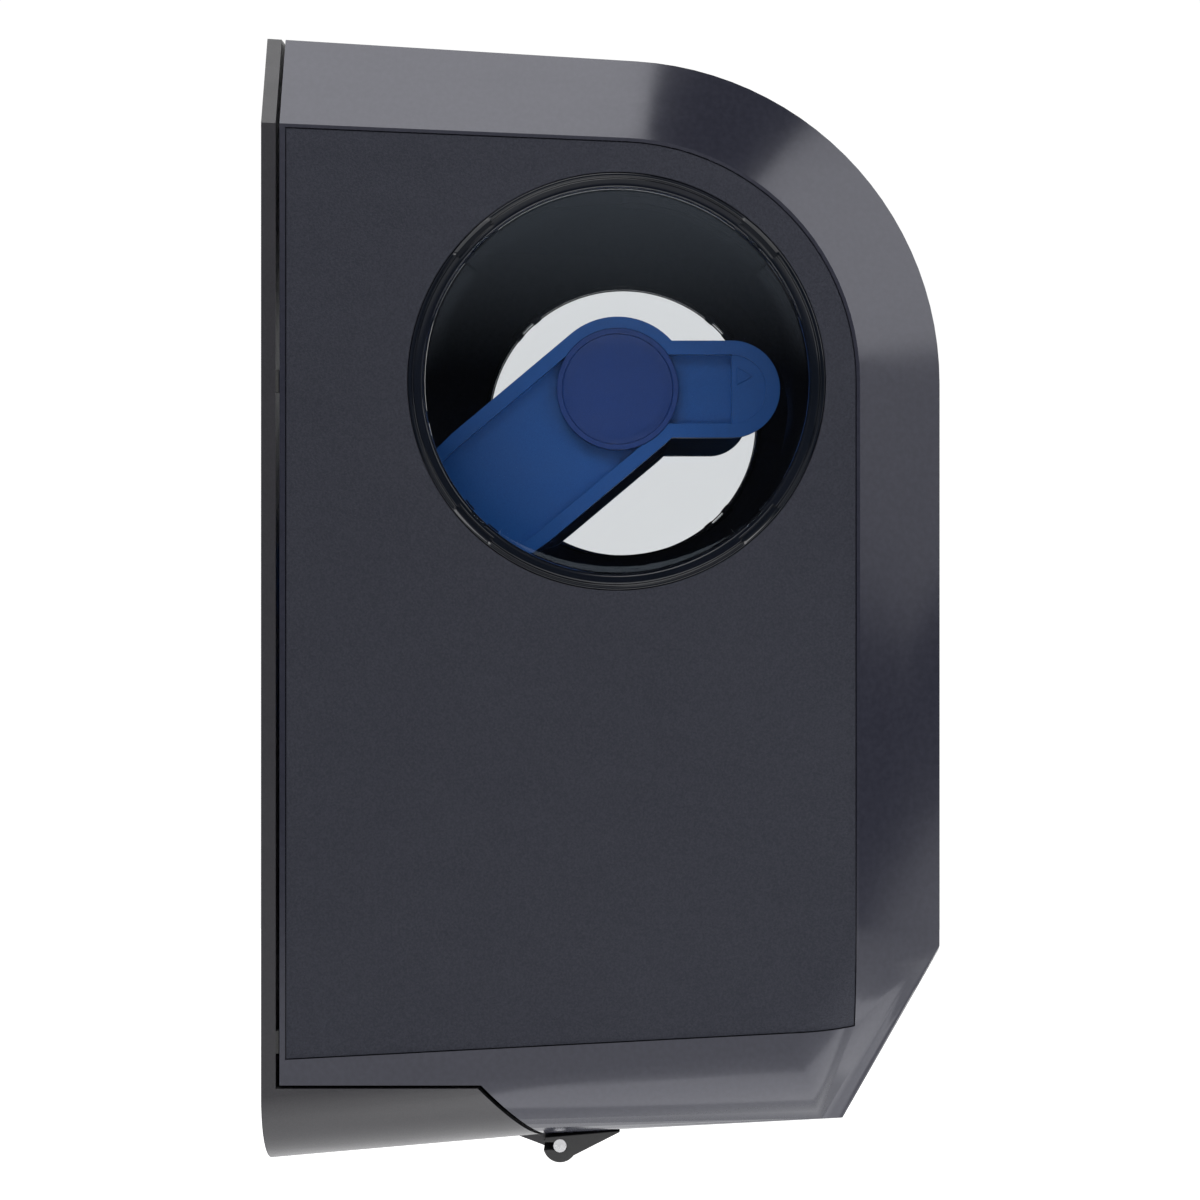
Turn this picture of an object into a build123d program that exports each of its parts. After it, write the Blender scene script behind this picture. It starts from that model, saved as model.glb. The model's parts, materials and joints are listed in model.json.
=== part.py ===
from build123d import *
import os
from math import atan2, cos, degrees, hypot, radians, sin, sqrt, tan

# Wall-mounted roll towel dispenser. X runs across it, the wall is the plane Y = 0, its front faces -Y,
# and Z is up. The origin is the middle of the four wall screws. Millimetres.

# Outer body
body_width = 316.0
cover_wall = 3.0
roll_y = -127.0
roll_z = 76.0
outer_radius = 117.3
outer_slope = 3.5
side_radius = 87.0
side_slope = 2.4
bevel_depth = 12.0
chin_top_z = -121.0
chin_low_y = -208.0
chin_low_z = -191.1
rear_bottom_z = -209.4
bottom_round = 29.0

# Split between the swinging cover and the fixed back
plate_rim = 5.2
plate_skin = 2.6
rim_width = 7.0
rear_gap = 1.4
parting_z = -176.2
parting_y = -78.0
parting_low_y = -101.6
parting_low_z = -201.0
parting_gap = 1.2
chin_wall = 3.0

# Textured side panels and round windows
panel_recess = 1.6
panel_thickness = 1.3
panel_groove = 1.2
panel_play = 0.4
panel_rear_y = -8.6
panel_seam_rear_z = -166.5
panel_seam_front_z = -155.8
window_radius = 74.6
window_clear = 69.6
window_ledge = 2.7
window_play = 0.3
window_rim = 1.4
window_pane = 2.0
window_rise = 1.3
window_spigot = 2.0
window_clip_hook = 1.7
window_clip_half_angle = 8.0
window_clips = 4

# Hinge at the bottom
hinge_y = -106.0
hinge_z = -203.7
hinge_rod_radius = 2.4
hinge_rod_half = 138.0
knuckle_radius = 6.2
knuckle_width = 10.0
knuckle_toe_y = -128.0
lug_radius = 5.0
lug_width = 9.0
lug_offsets = (122.0, 30.0)
hinge_play = 0.05
swing_gap = 0.6

# Lock at the top
lock_y = -34.0
lock_barrel_radius = 7.0
lock_collar_radius = 10.5
lock_collar_depth = 20.0
lock_sink = 0.4
key_slot_length = 7.0
key_slot_width = 1.6
key_slot_depth = 6.0
lock_cam_thickness = 3.0
lock_cam_hub = 7.0
strike_reach = 15.0
strike_pin_radius = 1.8
lock_cam_gap = 0.6
lock_finger = 4.0
strike_width = 28.0
strike_sheet = 2.0
strike_height = 18.0

# Wall screws
wall_hole_radius = 2.75
wall_hole_x = 135.0
wall_hole_z = 130.0
wall_boss_radius = 9.6
plate_rib = 2.0
plate_rib_pitch = 60.0

# Roll arms
arm_inner_x = 107.0
arm_outer_x = 115.0
arm_floor = 4.0
arm_rim = 5.3
arm_head_radius = 27.5
arm_leg_angle = 40.0
arm_tab_width = 36.8
arm_tab_reach = 43.2
arm_pad_lip = 0.8
arm_pad_radius = 15.0
arm_pivot_y = -14.0
arm_barrel_radius = 5.5
arm_pin_radius = 2.5
arm_lug_height = 6.0
arm_lug_radius = 6.0
arm_bracket_width = 30.0
arm_bracket_sheet = 2.4
arm_play = 0.3
pin_play = 0.05
arm_spring_radius = 4.2
arm_spring_length = 16.0

# Roll hubs
hub_radius = 23.15
hub_play = 0.05
hub_flange_radius = 26.0
hub_flange = 2.6
hub_plug_radius = 18.8
hub_plug_tip = 15.5
hub_plug_length = 12.0
hub_cup_radius = 20.5
hub_wall = 2.2
hub_lip = 0.5

# Cutting drum
drum_y = -125.0
drum_z = -110.0
drum_radius = 45.0
drum_wall = 3.0
drum_half = 101.0
drum_cap = 4.0
drum_spigot = 4.0
drum_spigot_wall = 4.0
shaft_radius = 4.0
shaft_play = 0.05
shaft_end = 1.0
slot_low = -12.0
slot_high = 13.0
slot_half = 93.0
band_thickness = 0.8
band_proud = 0.6
band_width = 16.0
band_pitch = 46.0
band_count = 4

# Knife carried in the drum
knife_pivot_y = 31.0
knife_pivot_z = -18.0
knife_tip_y = 8.0
knife_tip_z = 28.0
knife_pin_radius = 2.0
knife_boss_radius = 4.0
carrier_thickness = 2.6
carrier_half = 91.0
carrier_window = 3.0
blade_thickness = 0.8
blade_depth = 13.0
blade_tooth_pitch = 6.0
blade_tooth_depth = 3.0
blade_screw_count = 5
blade_screw_pitch = 40.0
blade_screw_radius = 1.5
follower_y = -8.0
follower_z = -7.0
follower_radius = 3.0
follower_arm = 1.8

# Cam track beside the drum
cam_radius = 42.0
cam_floor = 1.5
cam_depth = 5.5
cam_outer_track = 38.0
cam_inner_track = 24.5
cam_lobe_radius = 12.0
cam_lobe_offset = 14.0

# Mechanism side plates
side_plate_x = 109.0
side_plate = 3.0
side_plate_front_y = -188.0
side_plate_top_z = -42.0
side_plate_wall_top_z = -73.0
side_plate_step_y = -24.0
side_plate_shoulder_y = -50.0
side_plate_low_z = -172.0
side_plate_nose = 34.0
side_plate_flange = 15.0
side_plate_hole = 13.0
bush_radius = 8.0
bush_flange_radius = 10.0
bush_flange = 1.6

# Feed wheel, one-way bearing and crank
bearing_radius = 13.0
bearing_width = 7.0
feed_wheel_radius = 27.0
feed_wheel_width = 9.0
feed_wheel_notches = 20
feed_notch_radius = 2.6
wheel_gap = 1.0
crank_radius = 22.0
crank_thickness = 5.0
crank_throw = 15.0
crank_pin_radius = 2.5
crank_pin_length = 9.0
spring_post_y = -52.0
spring_post_z = -152.0
spring_post_radius = 2.5
spring_coil_radius = 4.0
spring_eye = 3.6
spring_eye_width = 1.6

# Pinch roller
pinch_lean = 20.0
pinch_radius = 11.0
pinch_gap = 0.3
pinch_shaft_radius = 3.0
pinch_sleeve_width = 34.0
pinch_arm_x = 103.0
pinch_arm = 3.0
pinch_arm_radius = 6.5
pinch_pivot_y = -60.0
pinch_pivot_z = -62.0
pinch_pivot_radius = 2.5
pinch_bar_radius = 3.6
pinch_bar_place = 0.55
pinch_spring_radius = 4.6
pinch_spring_length = 14.0

# Towel guides
guide_radius = 55.0
guide_sheet = 2.2
guide_from = 118.0
guide_to = 186.0
guide_low_z = -186.0
guide_rib = 3.0
guide_rib_pitch = 40.0
guide_rib_count = 5
rear_guide_y = -150.0
rear_guide_top_z = -168.0
rear_guide_lean = 6.0

# Towel outlet in the cover
outlet_half = 110.0
outlet_rear_y = -146.0
outlet_front_y = -200.0
outlet_corner = 8.0

# Rubber buffers and screws
buffer_radius = 4.0
buffer_play = 0.3
screw_radius = 1.6
screw_head_radius = 3.4
screw_head = 2.0

half_width = body_width / 2
front_y = roll_y - outer_radius
bevel_angle = degrees(atan2(bevel_depth, outer_radius - side_radius))
far = 500.0


def side_plane(x):
    """The plane seen from the side, where sketch x is Y and sketch y is Z."""
    return Plane(origin=(x, 0, 0), x_dir=(0, 1, 0), z_dir=(1, 0, 0))


def across(outline, x_from, x_to):
    """A side outline as a solid from one X to another."""
    return extrude(side_plane(x_from) * outline, amount=x_to - x_from)


def bar(y, z, radius, x_from, x_to):
    """A round bar along X."""
    return across(Pos(y, z) * Circle(radius), x_from, x_to)


def tube(y, z, outer, inner, x_from, x_to):
    """A round sleeve along X."""
    return across(Pos(y, z) * (Circle(outer) - Circle(inner)), x_from, x_to)


def turned(points, y, z):
    """A closed outline of X and radius turned about an axis along X."""
    section = make_face(Polyline(*points, close=True))
    return Pos(0, y, z) * revolve(section, Axis.X)


def post(x, z, radius, y_from, y_to):
    """A round post along Y."""
    face = Plane(origin=(x, y_from, z), x_dir=(1, 0, 0), z_dir=(0, 1, 0)) * Circle(radius)
    return extrude(face, amount=y_to - y_from)


def upright(x, y, radius, z_from, z_to):
    """A round pin along Z."""
    return extrude(Plane(origin=(x, y, z_from)) * Circle(radius), amount=z_to - z_from)


def block(x_from, x_to, y_from, y_to, z_from, z_to):
    """A plain block between two corners."""
    size = (x_to - x_from, y_to - y_from, z_to - z_from)
    middle = ((x_from + x_to) / 2, (y_from + y_to) / 2, (z_from + z_to) / 2)
    return Pos(*middle) * Box(abs(size[0]), abs(size[1]), abs(size[2]))


def mirrored(shape):
    """The same piece on the other side."""
    return mirror(shape, Plane.YZ)


def polygon(*points):
    """A side outline from corner points."""
    return make_face(Polyline(*points, close=True))


def top_z(y, radius, slope):
    """Height of a sloping top that runs tangent into a round on the roll axis."""
    return roll_z + radius / cos(radians(slope)) + (y - roll_y) * tan(radians(slope))


chin_rise = (chin_low_z - chin_top_z) / (chin_low_y - front_y)
bottom_rise = (rear_bottom_z - chin_low_z) / (0 - chin_low_y)


def chin_z(y, inset=0.0):
    """Height of the slanted facet below the front."""
    return chin_top_z + chin_rise * (y - front_y) + inset * sqrt(1 + chin_rise ** 2)


def bottom_z(y, inset=0.0):
    """Height of the bottom face."""
    return chin_low_z + bottom_rise * (y - chin_low_y) + inset * sqrt(1 + bottom_rise ** 2)


def body_face(radius, slope, inset, rear_y):
    """Side outline: sloping top, round on the roll axis, straight front, chin facet and bottom."""
    lean = radians(slope)
    middle = radians((90 + slope + 180) / 2)
    rear_top = (rear_y, top_z(rear_y, radius, slope))
    tangent = (roll_y - radius * sin(lean), roll_z + radius * cos(lean))
    bend = (roll_y + radius * cos(middle), roll_z + radius * sin(middle))
    front = roll_y - radius
    corner_y = (bottom_z(0, inset) - chin_z(0, inset)) / (chin_rise - bottom_rise)
    edges = [
        Line(rear_top, tangent),
        ThreePointArc(tangent, bend, (front, roll_z)),
        Line((front, roll_z), (front, chin_z(front, inset))),
        Line((front, chin_z(front, inset)), (corner_y, bottom_z(corner_y, inset))),
        Line((corner_y, bottom_z(corner_y, inset)), (rear_y, bottom_z(rear_y, inset))),
        Line((rear_y, bottom_z(rear_y, inset)), rear_top),
    ]
    return make_face(Curve() + edges)


def rounded_channel(y, z, rise_y, rise_z, inward, inset):
    """A long block along a lower face of the body, with its two edges on that face rounded."""
    plane = Plane(origin=(0, y, z), x_dir=(1, 0, 0), z_dir=(0, rise_y, rise_z))
    section = RectangleRounded(body_width - 2 * inset, far, bottom_round - inset)
    return extrude(plane * Pos(0, inward * far / 2) * section, amount=far, both=True)


def envelope(inset=0.0, rear_y=0.0):
    """The whole outside form, or the same form moved inward by a wall."""
    side_shift = inset * tan(radians(bevel_angle / 2))
    edge_shift = inset * tan(radians((90 - bevel_angle) / 2))
    side_x = half_width - inset
    edge_x = half_width - bevel_depth - edge_shift
    full = body_face(outer_radius - inset, outer_slope, inset, rear_y)
    side = body_face(side_radius - side_shift, side_slope, inset, rear_y)
    flank = loft([side_plane(edge_x) * full, side_plane(side_x) * side], ruled=True)
    low = rounded_channel(0, bottom_z(0, inset), 1, bottom_rise, -1, inset)
    chin = rounded_channel(front_y, chin_z(front_y, inset), -1, -chin_rise, 1, inset)
    half = (across(full, 0, edge_x) + flank) & low & chin
    return half + mirrored(half)


def panel_face(play):
    """Outline of the textured side panel, above its seam."""
    face = body_face(side_radius - panel_groove - play, side_slope, 0, 0)
    front = roll_y - side_radius
    seam = polygon(
        (panel_rear_y - play, far),
        (-far, far),
        (-far, panel_seam_front_z + play),
        (front, panel_seam_front_z + play),
        (panel_rear_y - play, panel_seam_rear_z + play),
    )
    return face & seam


def cover_region():
    """Side view of everything in front of the parting between the cover and the back."""
    shift = parting_gap / 2
    rear = -plate_rim - rear_gap
    return polygon(
        (rear, far),
        (rear, parting_z + shift),
        (parting_y - shift, parting_z + shift),
        (parting_low_y - shift, parting_low_z + shift),
        (parting_low_y - shift, -far),
        (-far, -far),
        (-far, far),
    )


def chin_region():
    """Side view of the fixed bottom part behind the parting."""
    shift = parting_gap / 2
    return polygon(
        (far, parting_z - shift),
        (parting_y + shift, parting_z - shift),
        (parting_low_y + shift, parting_low_z - shift),
        (parting_low_y + shift, -far),
        (far, -far),
    )


def lock_top():
    """Height of the cover's top face over the lock."""
    return top_z(lock_y, outer_radius, outer_slope)


outer_form = envelope()
recess_form = envelope(panel_recess)
inner_form = envelope(cover_wall, plate_rim * 2)


def cover_shell():
    """The one-piece glossy cover with its panel recesses, window holes, outlet and hinge notches."""
    shell = (outer_form - inner_form) & across(cover_region(), -far, far)
    recess = across(panel_face(0), half_width / 2, far) - recess_form
    hole = bar(roll_y, roll_z, window_radius - window_ledge, half_width - 2 * cover_wall, far)
    shell = shell - recess - mirrored(recess) - hole - mirrored(hole)
    outlet = Pos(0, (outlet_rear_y + outlet_front_y) / 2, chin_low_z) * RectangleRounded(
        2 * outlet_half, outlet_rear_y - outlet_front_y, outlet_corner)
    shell = shell - extrude(outlet, amount=6 * cover_wall, both=True)
    shell = shell - upright(0, lock_y, lock_collar_radius, lock_top() - 6 * cover_wall, far)
    for place in lug_places():
        notch = lug_radius + swing_gap
        reach = lug_width / 2 + swing_gap
        shell = shell - bar(hinge_y, hinge_z, notch, place - reach, place + reach)
    for spot_x in (-half_width + 30, half_width - 30):
        rib = across(rib_outline(), spot_x - 1, spot_x + 1)
        shell = shell + (rib & inner_form)
    return shell


def rib_outline():
    """Side view of a stiffening rib inside the cover's round front."""
    ring = Circle(outer_radius - cover_wall) - Circle(outer_radius - cover_wall - 6)
    front = polygon((roll_y - far, roll_z), (roll_y, roll_z), (roll_y, far), (roll_y - far, far))
    return (Pos(roll_y, roll_z) * ring) & front


def side_panel():
    """The textured panel let into the right side of the cover."""
    outer = envelope(panel_recess - panel_thickness)
    plate = (outer - recess_form) & across(panel_face(panel_play), half_width / 2, far)
    return plate - bar(roll_y, roll_z, window_radius + window_play, half_width - 2 * cover_wall, far)


def window():
    """The right window: a domed pane in a rim, held behind the wall by snap clips."""
    seat = half_width - panel_recess
    back = half_width - cover_wall
    spigot = window_radius - window_ledge - window_play
    rim_face = seat + window_rim
    dome = (window_clear ** 2 + window_rise ** 2) / (2 * window_rise)
    half_rise = window_rise - dome + sqrt(dome ** 2 - window_clear ** 2 / 4)
    outline = [
        Line((seat + window_rise - window_pane, 0), (seat + window_rise, 0)),
        ThreePointArc(
            (seat + window_rise, 0),
            (seat + half_rise, window_clear / 2),
            (seat, window_clear)),
        Line((seat, window_clear), (rim_face - 0.5, window_clear)),
        Line((rim_face - 0.5, window_clear), (rim_face, window_clear + 0.8)),
        Line((rim_face, window_clear + 0.8), (rim_face, window_radius)),
        Line((rim_face, window_radius), (seat, window_radius)),
        Line((seat, window_radius), (seat, spigot)),
        Line((seat, spigot), (back - window_spigot, spigot)),
        Line((back - window_spigot, spigot), (back - window_spigot, window_clear)),
        Line((back - window_spigot, window_clear), (seat - window_pane, window_clear)),
        ThreePointArc(
            (seat - window_pane, window_clear),
            (seat + half_rise - window_pane, window_clear / 2),
            (seat + window_rise - window_pane, 0)),
    ]
    pane = Pos(0, roll_y, roll_z) * revolve(make_face(Curve() + edges_of(outline)), Axis.X)
    clip = window_clip(back - window_spigot, back, spigot)
    for turn in range(window_clips):
        angle = 45 + turn * 360 / window_clips
        pane = pane + Pos(0, roll_y, roll_z) * Rot(angle, 0, 0) * clip
    return pane


def edges_of(outline):
    """The edges of a list of curves."""
    return [edge for curve in outline for edge in curve.edges()]


def window_clip(x_from, x_to, radius):
    """One snap clip that catches behind the cover wall."""
    start = -window_clip_half_angle
    ring = Circle(radius + window_clip_hook) - Circle(radius)
    reach = 2 * radius
    spread = reach * tan(radians(window_clip_half_angle))
    wedge = make_face(Polyline((0, 0), (reach, -spread), (reach, spread), close=True))
    return across(ring & wedge, x_from, x_to - window_play)


def lug_places():
    """Middle X of each fixed hinge lug."""
    return [sign * offset for offset in lug_offsets for sign in (-1, 1)]


def hinge_knuckle():
    """The right hook of the cover round the hinge rod, open to the rear."""
    inner = hinge_rod_half - knuckle_width
    toe_z = bottom_z(knuckle_toe_y)
    wedge = polygon(
        (hinge_y, hinge_z - knuckle_radius),
        (hinge_y, bottom_z(hinge_y)),
        (knuckle_toe_y, toe_z),
        (knuckle_toe_y, toe_z - 0.6),
    )
    outline = (Pos(hinge_y, hinge_z) * Circle(knuckle_radius)) + wedge
    above = polygon((-far, bottom_z(-far)), (far, bottom_z(far)), (far, far), (-far, far))
    mouth = Pos(hinge_y + knuckle_radius, hinge_z) * Rectangle(2 * knuckle_radius, 2.6)
    bore = Pos(hinge_y, hinge_z) * Circle(hinge_rod_radius + hinge_play)
    return across(outline - above - bore - mouth, inner, hinge_rod_half)


def back_plate():
    """The wall plate with its raised rim, ribs, screw bosses, bottom chin and hinge lugs."""
    plate = outer_form & block(-far, far, -plate_rim, 0, -far, far)
    pocket = inset_form(rim_width) & block(-far, far, -plate_rim + plate_skin, far, -far, far)
    ribs = pocket & plate_ribs()
    plate = plate - pocket + ribs
    shell = (outer_form - inner_form) & across(chin_region(), -far, far)
    front_wall = polygon(
        (parting_y + parting_gap / 2, parting_z - parting_gap / 2),
        (parting_low_y + parting_gap / 2, parting_low_z - parting_gap / 2),
        (parting_low_y + parting_gap / 2, bottom_z(parting_low_y)),
        (parting_low_y + chin_wall + 2, bottom_z(parting_low_y)),
        (parting_y + chin_wall + 2, parting_z - parting_gap / 2),
    )
    shell = shell + (outer_form & across(front_wall, -far, far))
    web = polygon(
        (-plate_rim / 2, parting_z - parting_gap),
        (parting_y, parting_z - parting_gap),
        (parting_low_y + chin_wall, bottom_z(parting_low_y) + 1),
        (-plate_rim / 2, bottom_z(0) + 1),
    )
    for offset in (-90, 0, 90):
        shell = shell + across(web, offset - plate_rib / 2, offset + plate_rib / 2)
    body = plate + shell
    body = body + wall_bosses()
    for place in lug_places():
        body = body + hinge_lug(place)
    for sign in (-1, 1):
        middle = sign * (hinge_rod_half - knuckle_width / 2)
        reach = knuckle_width / 2 + swing_gap
        body = body - bar(hinge_y, hinge_z, knuckle_radius + swing_gap, middle - reach, middle + reach)
    body = body - bar(hinge_y, hinge_z, hinge_rod_radius + hinge_play, -hinge_rod_half, hinge_rod_half)
    for x, z in wall_spots():
        body = body - post(x, z, wall_hole_radius, -far, far)
    for x, z in plate_screw_spots():
        body = body - post(x, z, screw_radius, -far, far)
    return body


def inset_form(inset):
    """The outside form moved inward and let run through the wall plane."""
    return envelope(inset, plate_rim)


def wall_spots():
    """Where the four wall screws pass."""
    return [(sx * wall_hole_x, sz * wall_hole_z) for sx in (-1, 1) for sz in (-1, 1)]


def wall_bosses():
    """Bosses that carry the wall screws through to the wall."""
    spots = [post(x, z, wall_boss_radius, -plate_rim, 0) for x, z in wall_spots()]
    return Part() + spots


def plate_ribs():
    """The crossing ribs on the wall side of the plate."""
    ribs = []
    for step in (-2, -1, 0, 1, 2):
        middle = step * plate_rib_pitch
        ribs.append(block(middle - plate_rib / 2, middle + plate_rib / 2, -plate_rim, 0, -far, far))
        ribs.append(block(-far, far, -plate_rim, 0, middle - plate_rib / 2, middle + plate_rib / 2))
    return Part() + ribs


def hinge_lug(place):
    """A fixed lug that carries the hinge rod below the parting."""
    neck = polygon(
        (hinge_y, hinge_z - lug_radius),
        (hinge_y + lug_radius, hinge_z - lug_radius + 1),
        (parting_low_y + 16, bottom_z(parting_low_y + 16)),
        (parting_low_y + 12, bottom_z(parting_low_y) + chin_wall),
        (parting_low_y + parting_gap / 2 + 1, bottom_z(parting_low_y)),
        (hinge_y + 1, bottom_z(hinge_y) - 1.2),
    )
    head = (Pos(hinge_y, hinge_z) * Circle(lug_radius)) & polygon(
        (-far, bottom_z(-far) - swing_gap),
        (far, bottom_z(far) - swing_gap),
        (far, -far),
        (-far, -far),
    )
    return across(head + neck, place - lug_width / 2, place + lug_width / 2)


def strike():
    """The strike for the lock: an angle on the back plate with an upright pin."""
    cam_top = lock_cam_top()
    shelf_top = cam_top - lock_cam_thickness - lock_cam_gap * 2
    front = lock_y + strike_reach
    half = strike_width / 2
    leg = block(-half, half, -plate_rim - strike_sheet, -plate_rim, shelf_top - strike_height, shelf_top)
    reach = front - strike_pin_radius - strike_sheet
    shelf = block(-half, half, reach, -plate_rim, shelf_top - strike_sheet, shelf_top)
    pin = upright(0, front, strike_pin_radius, shelf_top - strike_sheet, cam_top)
    body = leg + shelf + pin
    for x, z in strike_screw_spots():
        body = body - post(x, z, screw_radius, -far, far)
    return body


def lock_cam_top():
    """Height of the top of the turning tongue under the lock collar."""
    return lock_top() - lock_collar_depth - lock_cam_gap


def lock_collar():
    """The round collar that holds the lock barrel in the top of the cover."""
    height = lock_top()
    low = height - lock_collar_depth
    ring = upright(0, lock_y, lock_collar_radius, low, height - lock_sink)
    flange = upright(0, lock_y, lock_collar_radius + 3, low, low + 3)
    bore = upright(0, lock_y, lock_barrel_radius + pin_play, low - 1, height)
    return (ring + flange - bore) & outer_form


def lock_barrel():
    """The turning barrel with its key slot and the square end that drives the tongue."""
    height = lock_top() - 2 * lock_sink
    low = lock_cam_top() - lock_cam_thickness
    body = upright(0, lock_y, lock_barrel_radius, lock_cam_top(), height)
    stem = upright(0, lock_y, lock_cam_hub / 2, low, lock_cam_top())
    slot = block(
        -key_slot_length / 2, key_slot_length / 2,
        lock_y - key_slot_width / 2, lock_y + key_slot_width / 2,
        height - key_slot_depth, height)
    return body + stem - slot


def lock_tongue():
    """The tongue: a hub with a curved finger that turns in behind the strike pin."""
    top = lock_cam_top()
    inner = strike_reach - strike_pin_radius - lock_cam_gap
    outer = strike_reach + strike_pin_radius + lock_cam_gap
    reach = outer + lock_finger
    sector = make_face(Polyline((0, 0), (reach, -reach * 0.5), (2 * reach, 0), (reach, reach * 0.45),
                                close=True))
    blade = (Circle(reach) & sector) + Circle(lock_cam_hub)
    notch_end = -strike_pin_radius - lock_cam_gap - 0.5
    opening = (Circle(outer) - Circle(inner)) & (Pos(reach / 2, reach / 2 + notch_end) * Rectangle(reach, reach))
    plan = blade - opening - Circle(lock_cam_hub / 2)
    plane = Plane(origin=(0, lock_y, top - lock_cam_thickness))
    return extrude(plane * plan, amount=lock_cam_thickness)


def arm_root_z():
    """Height of the middle of the arm where it meets its pivot."""
    return roll_z - (arm_pivot_y - roll_y) * tan(radians(arm_leg_angle))


def arm_root_half():
    """Half the height of the arm at its pivot."""
    return arm_head_radius / cos(radians(arm_leg_angle))


def arm_outline(inset):
    """Side view of the arm: round head, slanted leg and forward tab, all moved inward by a rim."""
    head = Circle(arm_head_radius - inset)
    length = 2 * (arm_pivot_y - roll_y)
    leg = Rot(0, 0, -arm_leg_angle) * Pos(length / 2, 0) * Rectangle(length, 2 * (arm_head_radius - inset))
    tab_half = arm_tab_width / 2 - inset
    tab = Pos(-arm_tab_reach / 2, 0) * Rectangle(arm_tab_reach, 2 * tab_half)
    tip = Pos(-arm_tab_reach, 0) * Circle(tab_half)
    limit = polygon((-far, -far), (arm_pivot_y - inset, -far), (arm_pivot_y - inset, far), (-far, far))
    return (Pos(roll_y, roll_z) * (head + leg + tab + tip)) & limit


def roll_arm():
    """The right roll arm: a rimmed plate with a hub bore, a finger pad and a pivot barrel."""
    arm = across(arm_outline(0), arm_inner_x, arm_outer_x)
    pocket = across(arm_outline(arm_rim), arm_inner_x + arm_floor, arm_outer_x + 1)
    pad = Pos(roll_y - arm_tab_reach, roll_z) * Circle(arm_pad_radius)
    bridge = Pos(roll_y - arm_tab_reach - arm_pad_radius / 2, roll_z) * Rectangle(
        arm_pad_radius, 2 * arm_pad_radius)
    raised = across((pad & bridge) & arm_outline(arm_rim), arm_inner_x, arm_outer_x - arm_pad_lip)
    arm = arm - pocket + raised
    low = arm_root_z() - arm_root_half()
    high = arm_root_z() + arm_root_half()
    notch = block(0, far, arm_pivot_y - arm_lug_radius - 2, 0, high, high + 4 * arm_lug_height)
    pivot_x = arm_pivot_x()
    arm = arm - notch + upright(pivot_x, arm_pivot_y, arm_barrel_radius, low, high)
    arm = arm - upright(pivot_x, arm_pivot_y, arm_pin_radius + pin_play, low - 1, high + 1)
    spring = arm_spring_span()
    window = arm_spring_radius + 4
    gap = block(pivot_x - window, pivot_x + window, arm_pivot_y - window, 0, spring[0] - arm_play,
                spring[1] + arm_play)
    arm = arm - gap
    return arm - bar(roll_y, roll_z, hub_radius + hub_play, 0, far)


def arm_pivot_x():
    """X of the right arm's pivot."""
    return (arm_inner_x + arm_outer_x) / 2


def arm_spring_span():
    """Lower and upper end of the arm's torsion spring."""
    middle = arm_root_z()
    return (middle - arm_spring_length / 2, middle + arm_spring_length / 2)


def arm_bracket():
    """The right bracket on the back plate, with a lug above and below the arm."""
    low = arm_root_z() - arm_root_half() - arm_play
    high = arm_root_z() + arm_root_half() + arm_play
    x = arm_pivot_x()
    half = arm_bracket_width / 2
    front = -plate_rim - arm_bracket_sheet
    base = block(x - half, x + half, front, -plate_rim, low - 2 * arm_lug_height, high + 2 * arm_lug_height)
    body = base
    for z_from, z_to in ((low - arm_lug_height, low), (high, high + arm_lug_height)):
        ear = upright(x, arm_pivot_y, arm_lug_radius, z_from, z_to)
        ear = ear + block(x - arm_lug_radius, x + arm_lug_radius, arm_pivot_y, -plate_rim, z_from, z_to)
        body = body + ear
    body = body - upright(x, arm_pivot_y, arm_pin_radius, low - far, high + far)
    for sx, sz in arm_screw_spots():
        body = body - post(sx, sz, screw_radius, -far, far)
    return body


def arm_pin():
    """The right arm's pivot pin."""
    low = arm_root_z() - arm_root_half() - arm_play - arm_lug_height
    high = arm_root_z() + arm_root_half() + arm_play + arm_lug_height
    return upright(arm_pivot_x(), arm_pivot_y, arm_pin_radius, low, high)


def arm_spring():
    """The right arm's torsion spring as a plain sleeve on the pin."""
    low, high = arm_spring_span()
    outer = upright(arm_pivot_x(), arm_pivot_y, arm_spring_radius, low, high)
    return outer - upright(arm_pivot_x(), arm_pivot_y, arm_pin_radius + arm_play, low, high)


def roll_hub():
    """The right roll hub: a spool end that plugs into the towel core, cupped on both sides."""
    face = arm_outer_x + hub_lip
    flange_in = arm_inner_x - arm_play
    flange_out = flange_in - hub_flange
    tip = flange_out - hub_plug_length
    floor = arm_inner_x + hub_wall
    points = [
        (tip, hub_plug_tip - hub_wall),
        (tip, hub_plug_tip),
        (tip + 1.5 * hub_wall, hub_plug_radius),
        (flange_out, hub_plug_radius),
        (flange_out, hub_flange_radius),
        (flange_in, hub_flange_radius),
        (flange_in, hub_radius),
        (face, hub_radius),
        (face, hub_cup_radius + hub_wall / 4),
        (floor, hub_cup_radius - 1),
        (floor, 0),
        (floor - hub_wall, 0),
        (floor - hub_wall, hub_plug_tip - hub_wall),
    ]
    return turned(points, roll_y, roll_z)


def drum_place(y, z):
    """A point given from the drum axis."""
    return (drum_y + y, drum_z + z)


def drum_shell():
    """The drum's tube with its knife slot and grooves for the grip bands."""
    shell = tube(drum_y, drum_z, drum_radius, drum_radius - drum_wall, -drum_half + drum_cap,
                 drum_half - drum_cap)
    shell = shell - knife_slot()
    for place in band_places():
        groove = tube(drum_y, drum_z, drum_radius + 1, drum_radius - band_thickness,
                      place - band_width / 2, place + band_width / 2)
        shell = shell - groove
    return shell


def knife_slot():
    """The space cut through the drum wall for the knife."""
    return block(-slot_half, slot_half, drum_y + drum_radius / 2, drum_y + 2 * drum_radius,
                 drum_z + slot_low, drum_z + slot_high)


def band_places():
    """Middle X of each grip band."""
    return [(index - (band_count - 1) / 2) * band_pitch for index in range(band_count)]


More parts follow.
